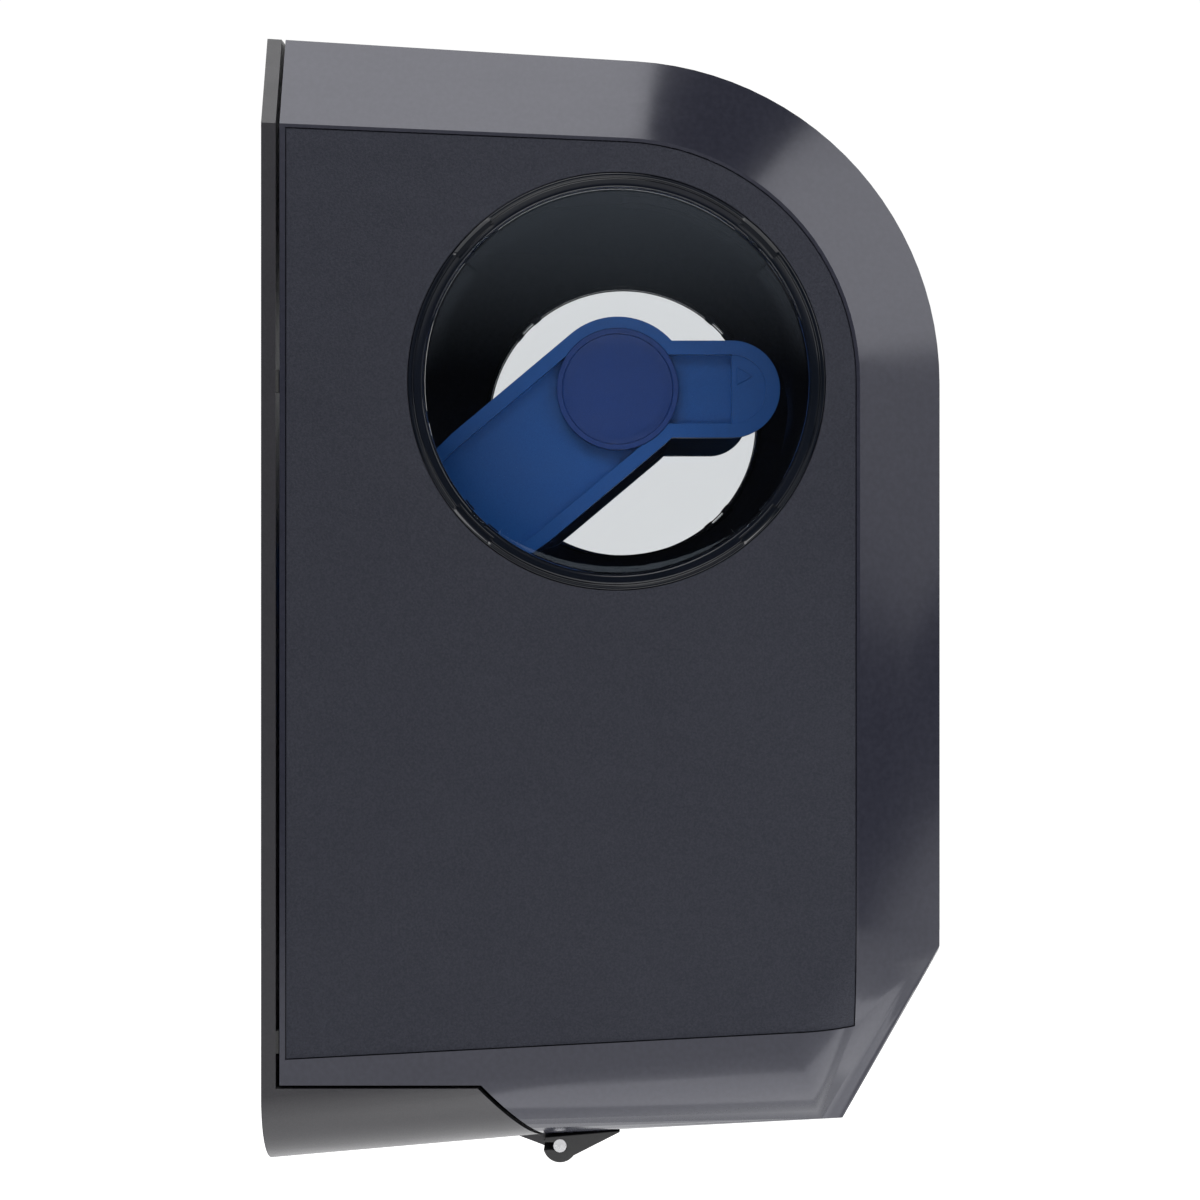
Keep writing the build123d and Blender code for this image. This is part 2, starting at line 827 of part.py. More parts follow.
def grip_bands():
    """The rubber bands round the drum."""
    bands = []
    for place in band_places():
        band = tube(drum_y, drum_z, drum_radius + band_proud, drum_radius - band_thickness,
                    place - band_width / 2, place + band_width / 2)
        bands.append(band - knife_slot())
    return bands


def drum_cap_right():
    """A drum end: a disc with a spigot in the tube and bores for the shaft and the knife pin."""
    inner = drum_half - drum_cap
    disc = bar(drum_y, drum_z, drum_radius, inner, drum_half)
    spigot = tube(drum_y, drum_z, drum_radius - drum_wall, drum_radius - drum_wall - drum_spigot_wall,
                  inner - drum_spigot, inner)
    relief = block(inner - drum_spigot, inner, drum_y, drum_y + far, drum_z - far, drum_z + far)
    hub = bar(drum_y, drum_z, 2.5 * shaft_radius, inner - drum_spigot, inner)
    body = disc + (spigot - relief) + hub
    y, z = drum_place(knife_pivot_y, knife_pivot_z)
    body = body - bar(drum_y, drum_z, shaft_radius, 0, far)
    return body - bar(y, z, knife_pin_radius + pin_play, 0, far)


def knife_direction():
    """Unit direction from the knife pivot to the blade's edge."""
    length = hypot(knife_tip_y, knife_tip_z)
    return (knife_tip_y / length, knife_tip_z / length, length)


def knife_frame():
    """The side plane of the knife, with its sketch x from the pivot to the edge."""
    y, z = drum_place(knife_pivot_y, knife_pivot_z)
    along_y, along_z, length = knife_direction()
    return Pos(y, z) * Rot(0, 0, degrees(atan2(along_z, along_y)))


def knife_carrier():
    """The swinging bar under the blade, with bosses on the knife pin."""
    length = knife_direction()[2]
    end = length - blade_depth * 0.35
    bar_face = Pos(end / 2, 0) * Rectangle(end, carrier_thickness)
    boss = Circle(knife_boss_radius)
    bore = Circle(knife_pin_radius)
    body = across(knife_frame() * (bar_face + boss - bore), -carrier_half, carrier_half)
    opening = Pos(knife_boss_radius + carrier_window, 0) * Rectangle(carrier_window, 2 * carrier_thickness)
    for place in blade_screw_places()[:-1]:
        middle = place + blade_screw_pitch / 2
        half = blade_screw_pitch * 0.3
        body = body - across(knife_frame() * opening, middle - half, middle + half)
    return body - blade_screw_shanks()


def blade_screw_shanks():
    """The holes that the blade screws pass through."""
    return Part() + [blade_screw(place, False) for place in blade_screw_places()]


def blade_screw_places():
    """Middle X of each blade screw."""
    return [(index - (blade_screw_count - 1) / 2) * blade_screw_pitch for index in range(blade_screw_count)]


def blade_screw(place, with_head):
    """A blade screw, square to the blade."""
    y, z = drum_place(knife_pivot_y, knife_pivot_z)
    along_y, along_z, length = knife_direction()
    reach = length - blade_depth * 0.7
    normal = (0, -along_z, along_y)
    origin = (place, y + along_y * reach, z + along_z * reach)
    plane = Plane(origin=origin, x_dir=(1, 0, 0), z_dir=normal)
    low = -carrier_thickness / 2
    top = carrier_thickness / 2 + blade_thickness
    shank = extrude(plane.offset(low) * Circle(blade_screw_radius), amount=top - low)
    if not with_head:
        return shank
    head = extrude(plane.offset(top) * Circle(blade_screw_radius * 1.8), amount=blade_screw_radius)
    return shank + head


def knife_blade():
    """The serrated blade: a strip with a row of teeth, drawn flat and laid on the carrier."""
    y, z = drum_place(knife_pivot_y, knife_pivot_z)
    along_y, along_z, length = knife_direction()
    count = int(2 * carrier_half / blade_tooth_pitch)
    width = count * blade_tooth_pitch
    base = length - blade_depth
    points = [(-width / 2, base)]
    for index in range(count):
        left = -width / 2 + index * blade_tooth_pitch
        points.append((left, length - blade_tooth_depth))
        points.append((left + blade_tooth_pitch / 2, length))
    points.append((width / 2, length - blade_tooth_depth))
    points.append((width / 2, base))
    normal = (0, -along_z, along_y)
    plane = Plane(origin=(0, y, z), x_dir=(1, 0, 0), z_dir=normal)
    drawn = make_face(Polyline(*points, close=True))
    strip = extrude(plane.offset(carrier_thickness / 2) * drawn, amount=blade_thickness)
    return strip - blade_screw_shanks()


def knife_pin():
    """The pin that the knife turns on, running in both drum ends."""
    y, z = drum_place(knife_pivot_y, knife_pivot_z)
    return bar(y, z, knife_pin_radius, -drum_half - arm_play - follower_arm, drum_half)


def cam_follower():
    """The short lever on the left end of the knife pin, with a roller in the cam track."""
    y, z = drum_place(knife_pivot_y, knife_pivot_z)
    near = -drum_half - arm_play
    far_side = near - follower_arm
    tip_y = y + follower_y
    tip_z = z + follower_z
    lever = make_hull((Pos(y, z) * Circle(knife_boss_radius)).edges()
                      + (Pos(tip_y, tip_z) * Circle(follower_radius)).edges())
    arm = across(lever, far_side, near) - bar(y, z, knife_pin_radius, -far, 0)
    roller_end = -side_plate_x + cam_floor + arm_play
    return arm + bar(tip_y, tip_z, follower_radius, roller_end, far_side)


def cam_track():
    """The fixed cam ring on the left side plate, with a lobed groove for the follower."""
    floor_x = -side_plate_x
    face_x = floor_x + cam_depth
    disc = bar(drum_y, drum_z, cam_radius, floor_x, face_x)
    island = make_hull(Circle(cam_inner_track - 2).edges()
                       + (Pos(-cam_lobe_offset, 0) * Circle(cam_lobe_radius)).edges())
    groove = Pos(drum_y, drum_z) * (Circle(cam_outer_track) - island)
    disc = disc - across(groove, floor_x + cam_floor, face_x + 1)
    return disc - bar(drum_y, drum_z, bush_flange_radius, -far, 0)


def drum_shaft():
    """The drum's through shaft."""
    left = crank_x() - crank_thickness - shaft_end
    right = feed_wheel_x() + feed_wheel_width + shaft_end
    return bar(drum_y, drum_z, shaft_radius, left, right)


def drum_bush():
    """The right shaft bush in its side plate."""
    inner = side_plate_x - bush_flange
    points = [
        (inner, shaft_radius + shaft_play),
        (inner, bush_flange_radius),
        (side_plate_x, bush_flange_radius),
        (side_plate_x, bush_radius),
        (side_plate_x + side_plate, bush_radius),
        (side_plate_x + side_plate, shaft_radius + shaft_play),
    ]
    return turned(points, drum_y, drum_z)


def side_plate_outline():
    """Side view of a mechanism plate: upright at the wall and round at the front."""
    front = side_plate_front_y + side_plate_nose
    wall = -plate_rim
    body = polygon(
        (wall, side_plate_wall_top_z),
        (side_plate_step_y, side_plate_wall_top_z),
        (side_plate_shoulder_y, side_plate_top_z),
        (front, side_plate_top_z),
        (front, side_plate_low_z),
        (wall, side_plate_low_z),
    )
    top = Pos(front, side_plate_top_z - side_plate_nose) * Circle(side_plate_nose)
    low = Pos(front, side_plate_low_z + side_plate_nose) * Circle(side_plate_nose)
    nose = polygon(
        (side_plate_front_y, side_plate_top_z - side_plate_nose),
        (front, side_plate_top_z - side_plate_nose),
        (front, side_plate_low_z + side_plate_nose),
        (side_plate_front_y, side_plate_low_z + side_plate_nose),
    )
    return body + top + low + nose


def mechanism_plate():
    """The right plate of the mechanism, with a flange on the back plate and lightening holes."""
    outer = side_plate_x + side_plate
    plate = across(side_plate_outline(), side_plate_x, outer)
    flange = block(outer, outer + side_plate_flange, -plate_rim - side_plate, -plate_rim, side_plate_low_z,
                   side_plate_wall_top_z)
    plate = plate + flange
    holes = ((-38, -70), (-38, -106), (-46, -146))
    for y, z in holes:
        plate = plate - bar(y, z, side_plate_hole, 0, far)
    plate = plate - bar(drum_y, drum_z, bush_radius, 0, far)
    plate = plate - bar(pinch_pivot_y, pinch_pivot_z, pinch_pivot_radius, 0, far)
    for x, z in mechanism_screw_spots():
        plate = plate - post(abs(x), z, screw_radius, -far, far)
    return plate


def one_way_bearing():
    """The one-way clutch bearing on the right end of the shaft, in its cup."""
    start = side_plate_x + side_plate
    return tube(drum_y, drum_z, bearing_radius, shaft_radius + shaft_play, start, start + bearing_width)


def feed_wheel_x():
    """Inner face of the feed wheel."""
    return side_plate_x + side_plate + bearing_width + wheel_gap


def feed_wheel():
    """The notched thumb wheel on the right end of the shaft."""
    start = feed_wheel_x()
    rim = Circle(feed_wheel_radius) - Circle(feed_wheel_radius - 5)
    for index in range(feed_wheel_notches):
        angle = index * 360 / feed_wheel_notches
        rim = rim - Rot(0, 0, angle) * Pos(feed_wheel_radius + 1, 0) * Circle(feed_notch_radius)
    place = Pos(drum_y, drum_z)
    wheel = across(place * rim, start, start + feed_wheel_width)
    web = across(place * (Circle(feed_wheel_radius - 4) - Circle(shaft_radius)), start, start + 3)
    boss = tube(drum_y, drum_z, 2 * shaft_radius, shaft_radius, start, start + feed_wheel_width)
    return wheel + web + boss


def crank_x():
    """Inner face of the crank disc."""
    return -side_plate_x - side_plate - wheel_gap


def crank_disc():
    """The crank disc and its pin on the left end of the shaft."""
    near = crank_x()
    disc = tube(drum_y, drum_z, crank_radius, shaft_radius, near - crank_thickness, near)
    pocket = Pos(drum_y, drum_z) * (Circle(crank_radius - 3) - Circle(2.4 * shaft_radius)
                                    - Pos(0, crank_throw) * Circle(2 * crank_pin_radius))
    disc = disc - across(pocket, near - crank_thickness - 1, near - crank_thickness / 2)
    end = near - crank_thickness - crank_pin_length
    return disc + bar(drum_y, drum_z + crank_throw, crank_pin_radius, end, near - crank_thickness)


def spring_x():
    """X of the middle of the drive spring."""
    return crank_x() - crank_thickness - crank_pin_length / 2


def spring_post():
    """The fixed post that holds the far end of the drive spring."""
    end = spring_x() - spring_eye_width * 2
    root = bar(spring_post_y, spring_post_z, 2 * spring_post_radius, -side_plate_x - side_plate - 4,
               -side_plate_x - side_plate)
    return root + bar(spring_post_y, spring_post_z, spring_post_radius, end, -side_plate_x - side_plate - 4)


def drive_spring():
    """The extension spring between the crank pin and the post, as a sleeve with two end eyes."""
    start = Vector(spring_x(), drum_y, drum_z + crank_throw)
    end = Vector(spring_x(), spring_post_y, spring_post_z)
    run = end - start
    direction = run.normalized()
    inset = spring_eye
    plane = Plane(origin=start + direction * inset, x_dir=(1, 0, 0), z_dir=direction)
    ring = Circle(spring_coil_radius) - Circle(spring_coil_radius - 1)
    body = extrude(plane * ring, amount=run.length - 2 * inset)
    half = spring_eye_width / 2
    for y, z in ((drum_y, drum_z + crank_throw), (spring_post_y, spring_post_z)):
        eye = tube(y, z, spring_eye + 1.8, spring_post_radius + arm_play, spring_x() - half, spring_x() + half)
        body = body + eye
    return body


def pinch_place():
    """Y and Z of the pinch roller's axis, just off the grip bands."""
    reach = drum_radius + band_proud + pinch_gap + pinch_radius
    return (drum_y + reach * sin(radians(pinch_lean)), drum_z + reach * cos(radians(pinch_lean)))


def pinch_shaft():
    """The shaft of the pinch rollers."""
    y, z = pinch_place()
    return bar(y, z, pinch_shaft_radius, -pinch_arm_x - pinch_arm, pinch_arm_x + pinch_arm)


def pinch_sleeves():
    """The rubber sleeves of the pinch roller, one over each grip band."""
    y, z = pinch_place()
    half = pinch_sleeve_width / 2
    return [tube(y, z, pinch_radius, pinch_shaft_radius, x - half, x + half) for x in band_places()]


def pinch_frame():
    """The sprung frame: two levers joined by a cross bar, holding the pinch roller."""
    y, z = pinch_place()
    pivot = Pos(pinch_pivot_y, pinch_pivot_z) * Circle(pinch_arm_radius)
    head = Pos(y, z) * Circle(pinch_arm_radius)
    outline = make_hull(pivot.edges() + head.edges())
    lever = across(outline, pinch_arm_x, pinch_arm_x + pinch_arm)
    bar_y = pinch_pivot_y + (y - pinch_pivot_y) * pinch_bar_place
    bar_z = pinch_pivot_z + (z - pinch_pivot_z) * pinch_bar_place
    frame = lever + mirrored(lever) + bar(bar_y, bar_z, pinch_bar_radius, -pinch_arm_x, pinch_arm_x)
    frame = frame - bar(y, z, pinch_shaft_radius + pin_play, -far, far)
    return frame - bar(pinch_pivot_y, pinch_pivot_z, pinch_pivot_radius + pin_play, -far, far)


def pinch_pivot():
    """The fixed rod that the pinch frame swings on."""
    end = side_plate_x + side_plate
    return bar(pinch_pivot_y, pinch_pivot_z, pinch_pivot_radius, -end, end)


def pinch_spring():
    """The right torsion spring on the pinch rod, as a plain sleeve."""
    outer = pinch_arm_x - arm_play
    return tube(pinch_pivot_y, pinch_pivot_z, pinch_spring_radius, pinch_pivot_radius + arm_play,
                outer - pinch_spring_length, outer)


def front_guide():
    """The curved guide in front of the drum that leads the towel down to the outlet."""
    outer = guide_radius + guide_sheet
    ring = Circle(outer) - Circle(guide_radius)
    start = radians(guide_from)
    stop = radians(guide_to)
    reach = 3 * guide_radius
    wedge = make_face(Polyline(
        (0, 0),
        (reach * cos(start), reach * sin(start)),
        (-reach, reach),
        (-reach, 0),
        (reach * cos(stop), reach * sin(stop)),
        close=True))
    curve = Pos(drum_y, drum_z) * (ring & wedge)
    low_y = drum_y + guide_radius * cos(stop)
    low_z = drum_z + guide_radius * sin(stop)
    tail = polygon(
        (low_y, low_z + 0.5),
        (low_y, guide_low_z),
        (low_y - guide_sheet, guide_low_z),
        (low_y - guide_sheet, low_z + 0.5),
    )
    guide = across(curve + tail, -side_plate_x, side_plate_x)
    rib = Pos(drum_y, drum_z) * ((Circle(outer + guide_rib) - Circle(outer - 0.5)) & wedge)
    for index in range(guide_rib_count):
        middle = (index - (guide_rib_count - 1) / 2) * guide_rib_pitch
        guide = guide + across(rib, middle - 1, middle + 1)
    return guide


def rear_guide():
    """The straight guide behind the towel, down to the outlet."""
    low_y = rear_guide_y - rear_guide_lean
    face = polygon(
        (rear_guide_y, rear_guide_top_z),
        (low_y, guide_low_z),
        (low_y + guide_sheet, guide_low_z),
        (rear_guide_y + guide_sheet, rear_guide_top_z),
    )
    lip = Pos(rear_guide_y + guide_sheet / 2, rear_guide_top_z) * Circle(guide_sheet)
    ear = polygon(
        (rear_guide_y + guide_sheet, rear_guide_top_z),
        (rear_guide_y + 5 * guide_sheet, rear_guide_top_z),
        (low_y + guide_sheet, guide_low_z),
    )
    guide = across(face + lip, -side_plate_x, side_plate_x)
    for index in range(guide_rib_count):
        middle = (index - (guide_rib_count - 1) / 2) * guide_rib_pitch
        guide = guide + across(ear, middle - 1, middle + 1)
    return guide


def plate_screw_spots():
    """Every place where a screw enters the back plate from the front."""
    return arm_screw_spots() + mirrored_spots(arm_screw_spots()) + mechanism_screw_spots() + strike_screw_spots()


def mirrored_spots(spots):
    """The same places on the left side."""
    return [(-x, z) for x, z in spots]


def arm_screw_spots():
    """Screw places of the right arm bracket."""
    x = arm_pivot_x()
    reach = arm_root_half() + arm_play + 1.5 * arm_lug_height
    side = arm_bracket_width / 2 - screw_head_radius - 1
    ends = (arm_root_z() - reach, arm_root_z() + reach)
    return [(x + sign * side, z) for sign in (-1, 1) for z in ends]


def mechanism_screw_spots():
    """Screw places of both mechanism plates."""
    x = side_plate_x + side_plate + side_plate_flange / 2
    high = side_plate_wall_top_z - side_plate_flange / 2
    low = side_plate_low_z + side_plate_flange / 2
    heights = (high, (high + low) / 2, low)
    return [(sign * x, z) for sign in (-1, 1) for z in heights]


def strike_screw_spots():
    """Screw places of the strike."""
    z = lock_cam_top() - lock_cam_thickness - 0.65 * strike_height
    return [(sign * strike_width / 3, z) for sign in (-1, 1)]


def screw(x, z, seat_y):
    """A pan-head screw along Y, its head seated on a surface in front of the wall."""
    head = post(x, z, screw_head_radius, seat_y - screw_head, seat_y)
    return head + post(x, z, screw_radius, seat_y, -plate_rim + plate_skin)


def screws():
    """All the screws that enter the back plate from the front."""
    pieces = []
    bracket_face = -plate_rim - arm_bracket_sheet
    for x, z in arm_screw_spots() + mirrored_spots(arm_screw_spots()):
        pieces.append(screw(x, z, bracket_face))
    for x, z in mechanism_screw_spots():
        pieces.append(screw(x, z, -plate_rim - side_plate))
    for x, z in strike_screw_spots():
        pieces.append(screw(x, z, -plate_rim - strike_sheet))
    return pieces


def buffers():
    """The rubber buffers on the back plate that the cover's rear edge comes down on."""
    depth = rear_gap - buffer_play
    spots = [(sign * (half_width - cover_wall / 2), z) for sign in (-1, 1) for z in buffer_heights()]
    pads = []
    for x, z in spots:
        pads.append(block(x - cover_wall / 2, x + cover_wall / 2, -plate_rim - depth, -plate_rim,
                          z - buffer_radius, z + buffer_radius))
    return pads


def buffer_heights():
    """Middle heights of the buffers."""
    return (roll_z, parting_z + 4 * buffer_radius)


def hinge_rod():
    """The steel rod of the cover hinge."""
    return bar(hinge_y, hinge_z, hinge_rod_radius, -hinge_rod_half, hinge_rod_half)


def save(name, shape):
    """Write one node; a list of solids becomes a group."""
    if isinstance(shape, list):
        solids = [solid for piece in shape for solid in piece.solids()]
        shape = Compound(children=solids)
    export_step(shape, "parts/" + name + ".step")


def main():
    os.makedirs("parts", exist_ok=True)
    save("back_plate", back_plate())
    save("cover_shell", cover_shell())
    pairs = {
        "side_panel": side_panel(),
        "window": window(),
        "hinge_knuckle": hinge_knuckle(),
        "arm_bracket": arm_bracket(),
        "arm_pin": arm_pin(),
        "arm_spring": arm_spring(),
        "roll_arm": roll_arm(),
        "roll_hub": roll_hub(),
        "drum_cap": drum_cap_right(),
        "drum_bush": drum_bush(),
        "mechanism_plate": mechanism_plate(),
        "pinch_spring": pinch_spring(),
    }
    for name, shape in pairs.items():
        save(name + "_right", shape)
        save(name + "_left", mirrored(shape))
    save("hinge_rod", hinge_rod())
    save("lock_collar", lock_collar())
    save("lock_barrel", lock_barrel())
    save("lock_tongue", lock_tongue())
    save("strike_bracket", strike())
    save("drum_shell", drum_shell())
    save("grip_bands", grip_bands())
    save("drum_shaft", drum_shaft())
    save("knife_carrier", knife_carrier())
    save("knife_blade", knife_blade())
    save("knife_pin", knife_pin())
    save("cam_follower", cam_follower())
    save("blade_screws", [blade_screw(place, True) for place in blade_screw_places()])
    save("cam_track", cam_track())
    save("one_way_bearing", one_way_bearing())
    save("feed_wheel", feed_wheel())
    save("crank_disc", crank_disc())
    save("spring_post", spring_post())
    save("drive_spring", drive_spring())
    save("pinch_shaft", pinch_shaft())
    save("pinch_sleeves", pinch_sleeves())
    save("pinch_frame", pinch_frame())
    save("pinch_pivot", pinch_pivot())
    save("front_guide", front_guide())
    save("rear_guide", rear_guide())
    save("cover_buffers", buffers())
    save("plate_screws", screws())


main()
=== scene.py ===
# %% [markdown]
# # A roll towel dispenser, dressed in Blender
# The dispenser hangs on a wall. Seen from its side, the wall plate is at the left and the round front at
# the right. Its solids come from the CAD model, so here they only get their finishes and their fine detail.
# We begin by loading that model, because every piece is placed by it.

import json
import math

import bmesh
import bpy
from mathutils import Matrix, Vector


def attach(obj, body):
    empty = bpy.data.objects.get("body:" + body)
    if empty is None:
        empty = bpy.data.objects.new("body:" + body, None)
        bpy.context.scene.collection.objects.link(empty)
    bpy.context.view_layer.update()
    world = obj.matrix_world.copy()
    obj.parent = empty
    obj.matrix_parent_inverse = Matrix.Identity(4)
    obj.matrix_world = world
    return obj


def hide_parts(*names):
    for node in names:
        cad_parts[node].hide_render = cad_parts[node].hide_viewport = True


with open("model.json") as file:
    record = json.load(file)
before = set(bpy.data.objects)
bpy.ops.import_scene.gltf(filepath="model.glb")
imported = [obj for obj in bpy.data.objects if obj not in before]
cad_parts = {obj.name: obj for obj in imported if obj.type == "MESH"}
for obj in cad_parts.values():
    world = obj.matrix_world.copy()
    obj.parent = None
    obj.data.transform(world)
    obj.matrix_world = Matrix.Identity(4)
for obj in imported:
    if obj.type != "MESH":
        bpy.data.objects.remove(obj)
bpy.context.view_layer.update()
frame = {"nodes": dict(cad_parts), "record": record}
MM = 0.001

# %% [markdown]
# ## The camera
# The photograph was taken square to the side of the dispenser, from about the height of its middle. Such a
# camera can be aimed at the object or set parallel to an axis. Parallel is right here, because the vertical
# edges in the photograph don't converge. The small shift frames the object as the photograph does.

# %% Camera
def new_object(name, data):
    """An object made of some data, put in the scene."""
    thing = bpy.data.objects.new(name, data)
    bpy.context.scene.collection.objects.link(thing)
    return thing


camera_data = bpy.data.cameras.new("side_camera")
camera_data.sensor_width = 36.0
camera_data.lens = 57.7
camera_data.shift_x = -0.0308
camera_data.shift_y = -0.069
camera = new_object("side_camera", camera_data)
camera.location = (-0.845, -0.1343, 0.0274)
camera.rotation_euler = (math.radians(90), 0, math.radians(-90))
bpy.context.scene.camera = camera
bpy.context.scene.view_settings.view_transform = "Standard"
print("camera lens:", camera_data.lens, "mm")

# %% [markdown]
# ## The room
# Glossy black plastic shows little of its own colour: what we see on it is the room. So the room is made
# first, with nodes that know in which direction a ray looks. A few helpers place and feed such nodes, and
# every finish uses them again later.

# %% Node helpers
def feed(tree, socket, value):
    """Gives an input a value, or links it from another node's socket."""
    if isinstance(value, bpy.types.NodeSocket):
        tree.links.new(value, socket)
    else:
        socket.default_value = value


def fed(tree, node, **inputs):
    """Feeds a node's inputs by name and returns the node."""
    for label, value in inputs.items():
        feed(tree, node.inputs[label.replace("_", " ")], value)
    return node


def wired(tree, kind, **inputs):
    """Makes and feeds a node of one kind. Returns its first output."""
    return fed(tree, tree.nodes.new(kind), **inputs).outputs[0]


def maths(tree, operation, *operands):
    """Makes a math node. Each operand is a socket or a number. Returns its output."""
    node = tree.nodes.new("ShaderNodeMath")
    node.operation = operation
    for socket, operand in zip(node.inputs, operands):
        feed(tree, socket, operand)
    return node.outputs[0]


def ramp(tree, value, low=0.0, high=1.0, start=0.0, end=1.0, easing="LINEAR"):
    """Maps a value so that low becomes start and high becomes end, held between them."""
    node = tree.nodes.new("ShaderNodeMapRange")
    node.interpolation_type = easing
    return fed(tree, node, Value=value, From_Min=low, From_Max=high, To_Min=start, To_Max=end).outputs[0]


# %% [markdown]
# Reflections see a room that is bright past the object and dim behind the camera, with a soft glow high up
# there. That keeps the flat side and the round window dark, as they are in the photograph. The camera
# itself sees plain white, and a little more than white through the panes, because their smoke takes some
# away.

# %% World
WHITE = 1.03
MORE_THROUGH_PANES = 0.27
DIM_ROOM, BRIGHT_ROOM = 0.02, 0.8
HIGH_GLOW = 0.5
SAME_DEPTH = 0.1
world = bpy.data.worlds.new("studio_room")
bpy.context.scene.world = world
world.use_nodes = True
room = world.node_tree
backdrop = room.nodes["Background"]
direction = room.nodes.new("ShaderNodeTexCoord").outputs["Generated"]
split = fed(room, room.nodes.new("ShaderNodeSeparateXYZ"), Vector=direction).outputs
glow = ramp(room, split["X"], low=-0.3, high=0.8, start=DIM_ROOM, end=BRIGHT_ROOM, easing="SMOOTHSTEP")
high_up = ramp(room, split["Z"], low=0.07, high=0.24, end=HIGH_GLOW, easing="SMOOTHSTEP")
haze = maths(room, "MULTIPLY", high_up, ramp(room, split["X"], low=-0.7, high=-0.85))
lit_room = maths(room, "ADD", glow, haze)
ray = room.nodes.new("ShaderNodeLightPath").outputs
straight = maths(room, "COMPARE", ray["Ray Depth"], ray["Transmission Depth"], SAME_DEPTH)
through = maths(room, "MULTIPLY", ray["Is Transmission Ray"], straight)
either = maths(room, "MAXIMUM", ray["Is Camera Ray"], through)
seen_white = maths(room, "MULTIPLY_ADD", through, MORE_THROUGH_PANES, WHITE)
blend = room.nodes.new("ShaderNodeMix")
for index, socket in ((0, either), (2, lit_room), (3, seen_white)):
    room.links.new(socket, blend.inputs[index])
fed(room, backdrop, Color=(1.0, 1.0, 1.0, 1.0), Strength=blend.outputs[0])
print("world:", world.name, len(room.nodes), "nodes")

# %% [markdown]
# ## The lights
# The slanted edge of the cover mirrors two tall soft lights, one in front and one above. Weaker ones light
# the lower facet, the far side and the underside. Area lights make such soft boxes. They are hidden from
# the camera and from the window panes, so that they show only as reflections.

# %% Soft lights
BODY_MIDDLE = Vector((0.0, -0.12, 0.0))


def softbox(name, centre, width, height, brightness):
    """A rectangular soft light that faces the body. Brightness is per area, so size doesn't change it."""
    data = bpy.data.lights.new(name, "AREA")
    data.shape = "RECTANGLE"
    data.size = width
    data.size_y = height
    data.energy = brightness * math.pi * width * height
    light = new_object(name, data)
    light.location = centre
    light.rotation_euler = (BODY_MIDDLE - Vector(centre)).to_track_quat("-Z", "Y").to_euler()
    light.visible_camera = False
    light.visible_transmission = False


softbox("front_box", (-1.04, -1.27, 0.80), width=0.9, height=1.05, brightness=3.2)
softbox("front_low_box", (-1.02, -1.45, 0.1), width=0.8, height=0.42, brightness=1.0)
softbox("top_box", (-0.965, 0.28, 1.42), width=1.1, height=1.08, brightness=4.6)
softbox("far_front_box", (1.05, -1.1, 0.3), width=0.9, height=1.2, brightness=2.0)
softbox("far_top_box", (0.9, -0.1, 1.1), width=1.0, height=0.7, brightness=2.4)
softbox("low_box", (-0.7, -0.5, -1.0), width=1.2, height=0.6, brightness=1.6)

# %% [markdown]
# ## The floor
# The floor lies where the floor of a washroom would, well below the dispenser. A square plane would show
# its corners in high views, so it is a round sheet. It is as bright as the white room behind it, so its
# edge doesn't show either.

# %% Floor
def piece_from(name, shape):
    """An object made of an editable mesh, which is freed."""
    mesh = bpy.data.meshes.new(name)
    shape.to_mesh(mesh)
    shape.free()
    return new_object(name, mesh)


def skinned(shape, rows):
    """Faces between rows of corners that lie round an axis, from the last row to the first too."""
    for row, after in zip(rows, rows[1:] + rows[:1]):
        for index in range(len(row) - 1):
            shape.faces.new((row[index], row[index + 1], after[index + 1], after[index]))


def round_sheet(name, radius, height, rings, steps):
    """A flat round sheet made of rings of faces."""
    shape = bmesh.new()
    middle = shape.verts.new((0, 0, height))
    reaches = [radius * (ring / rings) ** 2 for ring in range(1, rings + 1)]
    rows = []
    for step in range(steps):
        cosine, sine = math.cos(2 * math.pi * step / steps), math.sin(2 * math.pi * step / steps)
        rows.append([shape.verts.new((reach * cosine, reach * sine, height)) for reach in reaches])
    skinned(shape, rows)
    for row, after in zip(rows, rows[1:] + rows[:1]):
        shape.faces.new((middle, row[0], after[0]))
    return piece_from(name, shape)


floor = round_sheet("floor", radius=5.0, height=-1.2, rings=8, steps=48)
print("floor faces:", len(floor.data.polygons))

# %% [markdown]
# ## Shared effects
# Real plastic is never even. Four effects return in many finishes: the fine grain that a mould leaves, with
# painted light on the tops of the grain, the smudges of hands, dust that settles on upward faces, and the
# drawn lines of metal. Each is a node group with its own inputs, so a finish only states how much of it
# there is.

# %% Node group helper
def shader_group(name, inputs, outputs):
    """An empty shader node group with float sockets. Returns it, what it is given and its end node."""
    group = bpy.data.node_groups.new(name, "ShaderNodeTree")
    for label, value in inputs:
        socket = group.interface.new_socket(name=label, in_out="INPUT", socket_type="NodeSocketFloat")
        socket.default_value = value
    for label in outputs:
        group.interface.new_socket(name=label, in_out="OUTPUT", socket_type="NodeSocketFloat")
    return group, group.nodes.new("NodeGroupInput").outputs, group.nodes.new("NodeGroupOutput")


def noise(tree, scale, detail, stretch=(1, 1, 1)):
    """A noise pattern fixed to the object. Stretch squeezes it along each axis. Returns its value."""
    place = tree.nodes.new("ShaderNodeTexCoord").outputs["Object"]
    squeezed = wired(tree, "ShaderNodeMapping", Vector=place, Scale=stretch)
    return wired(tree, "ShaderNodeTexNoise", Vector=squeezed, Scale=scale, Detail=detail)
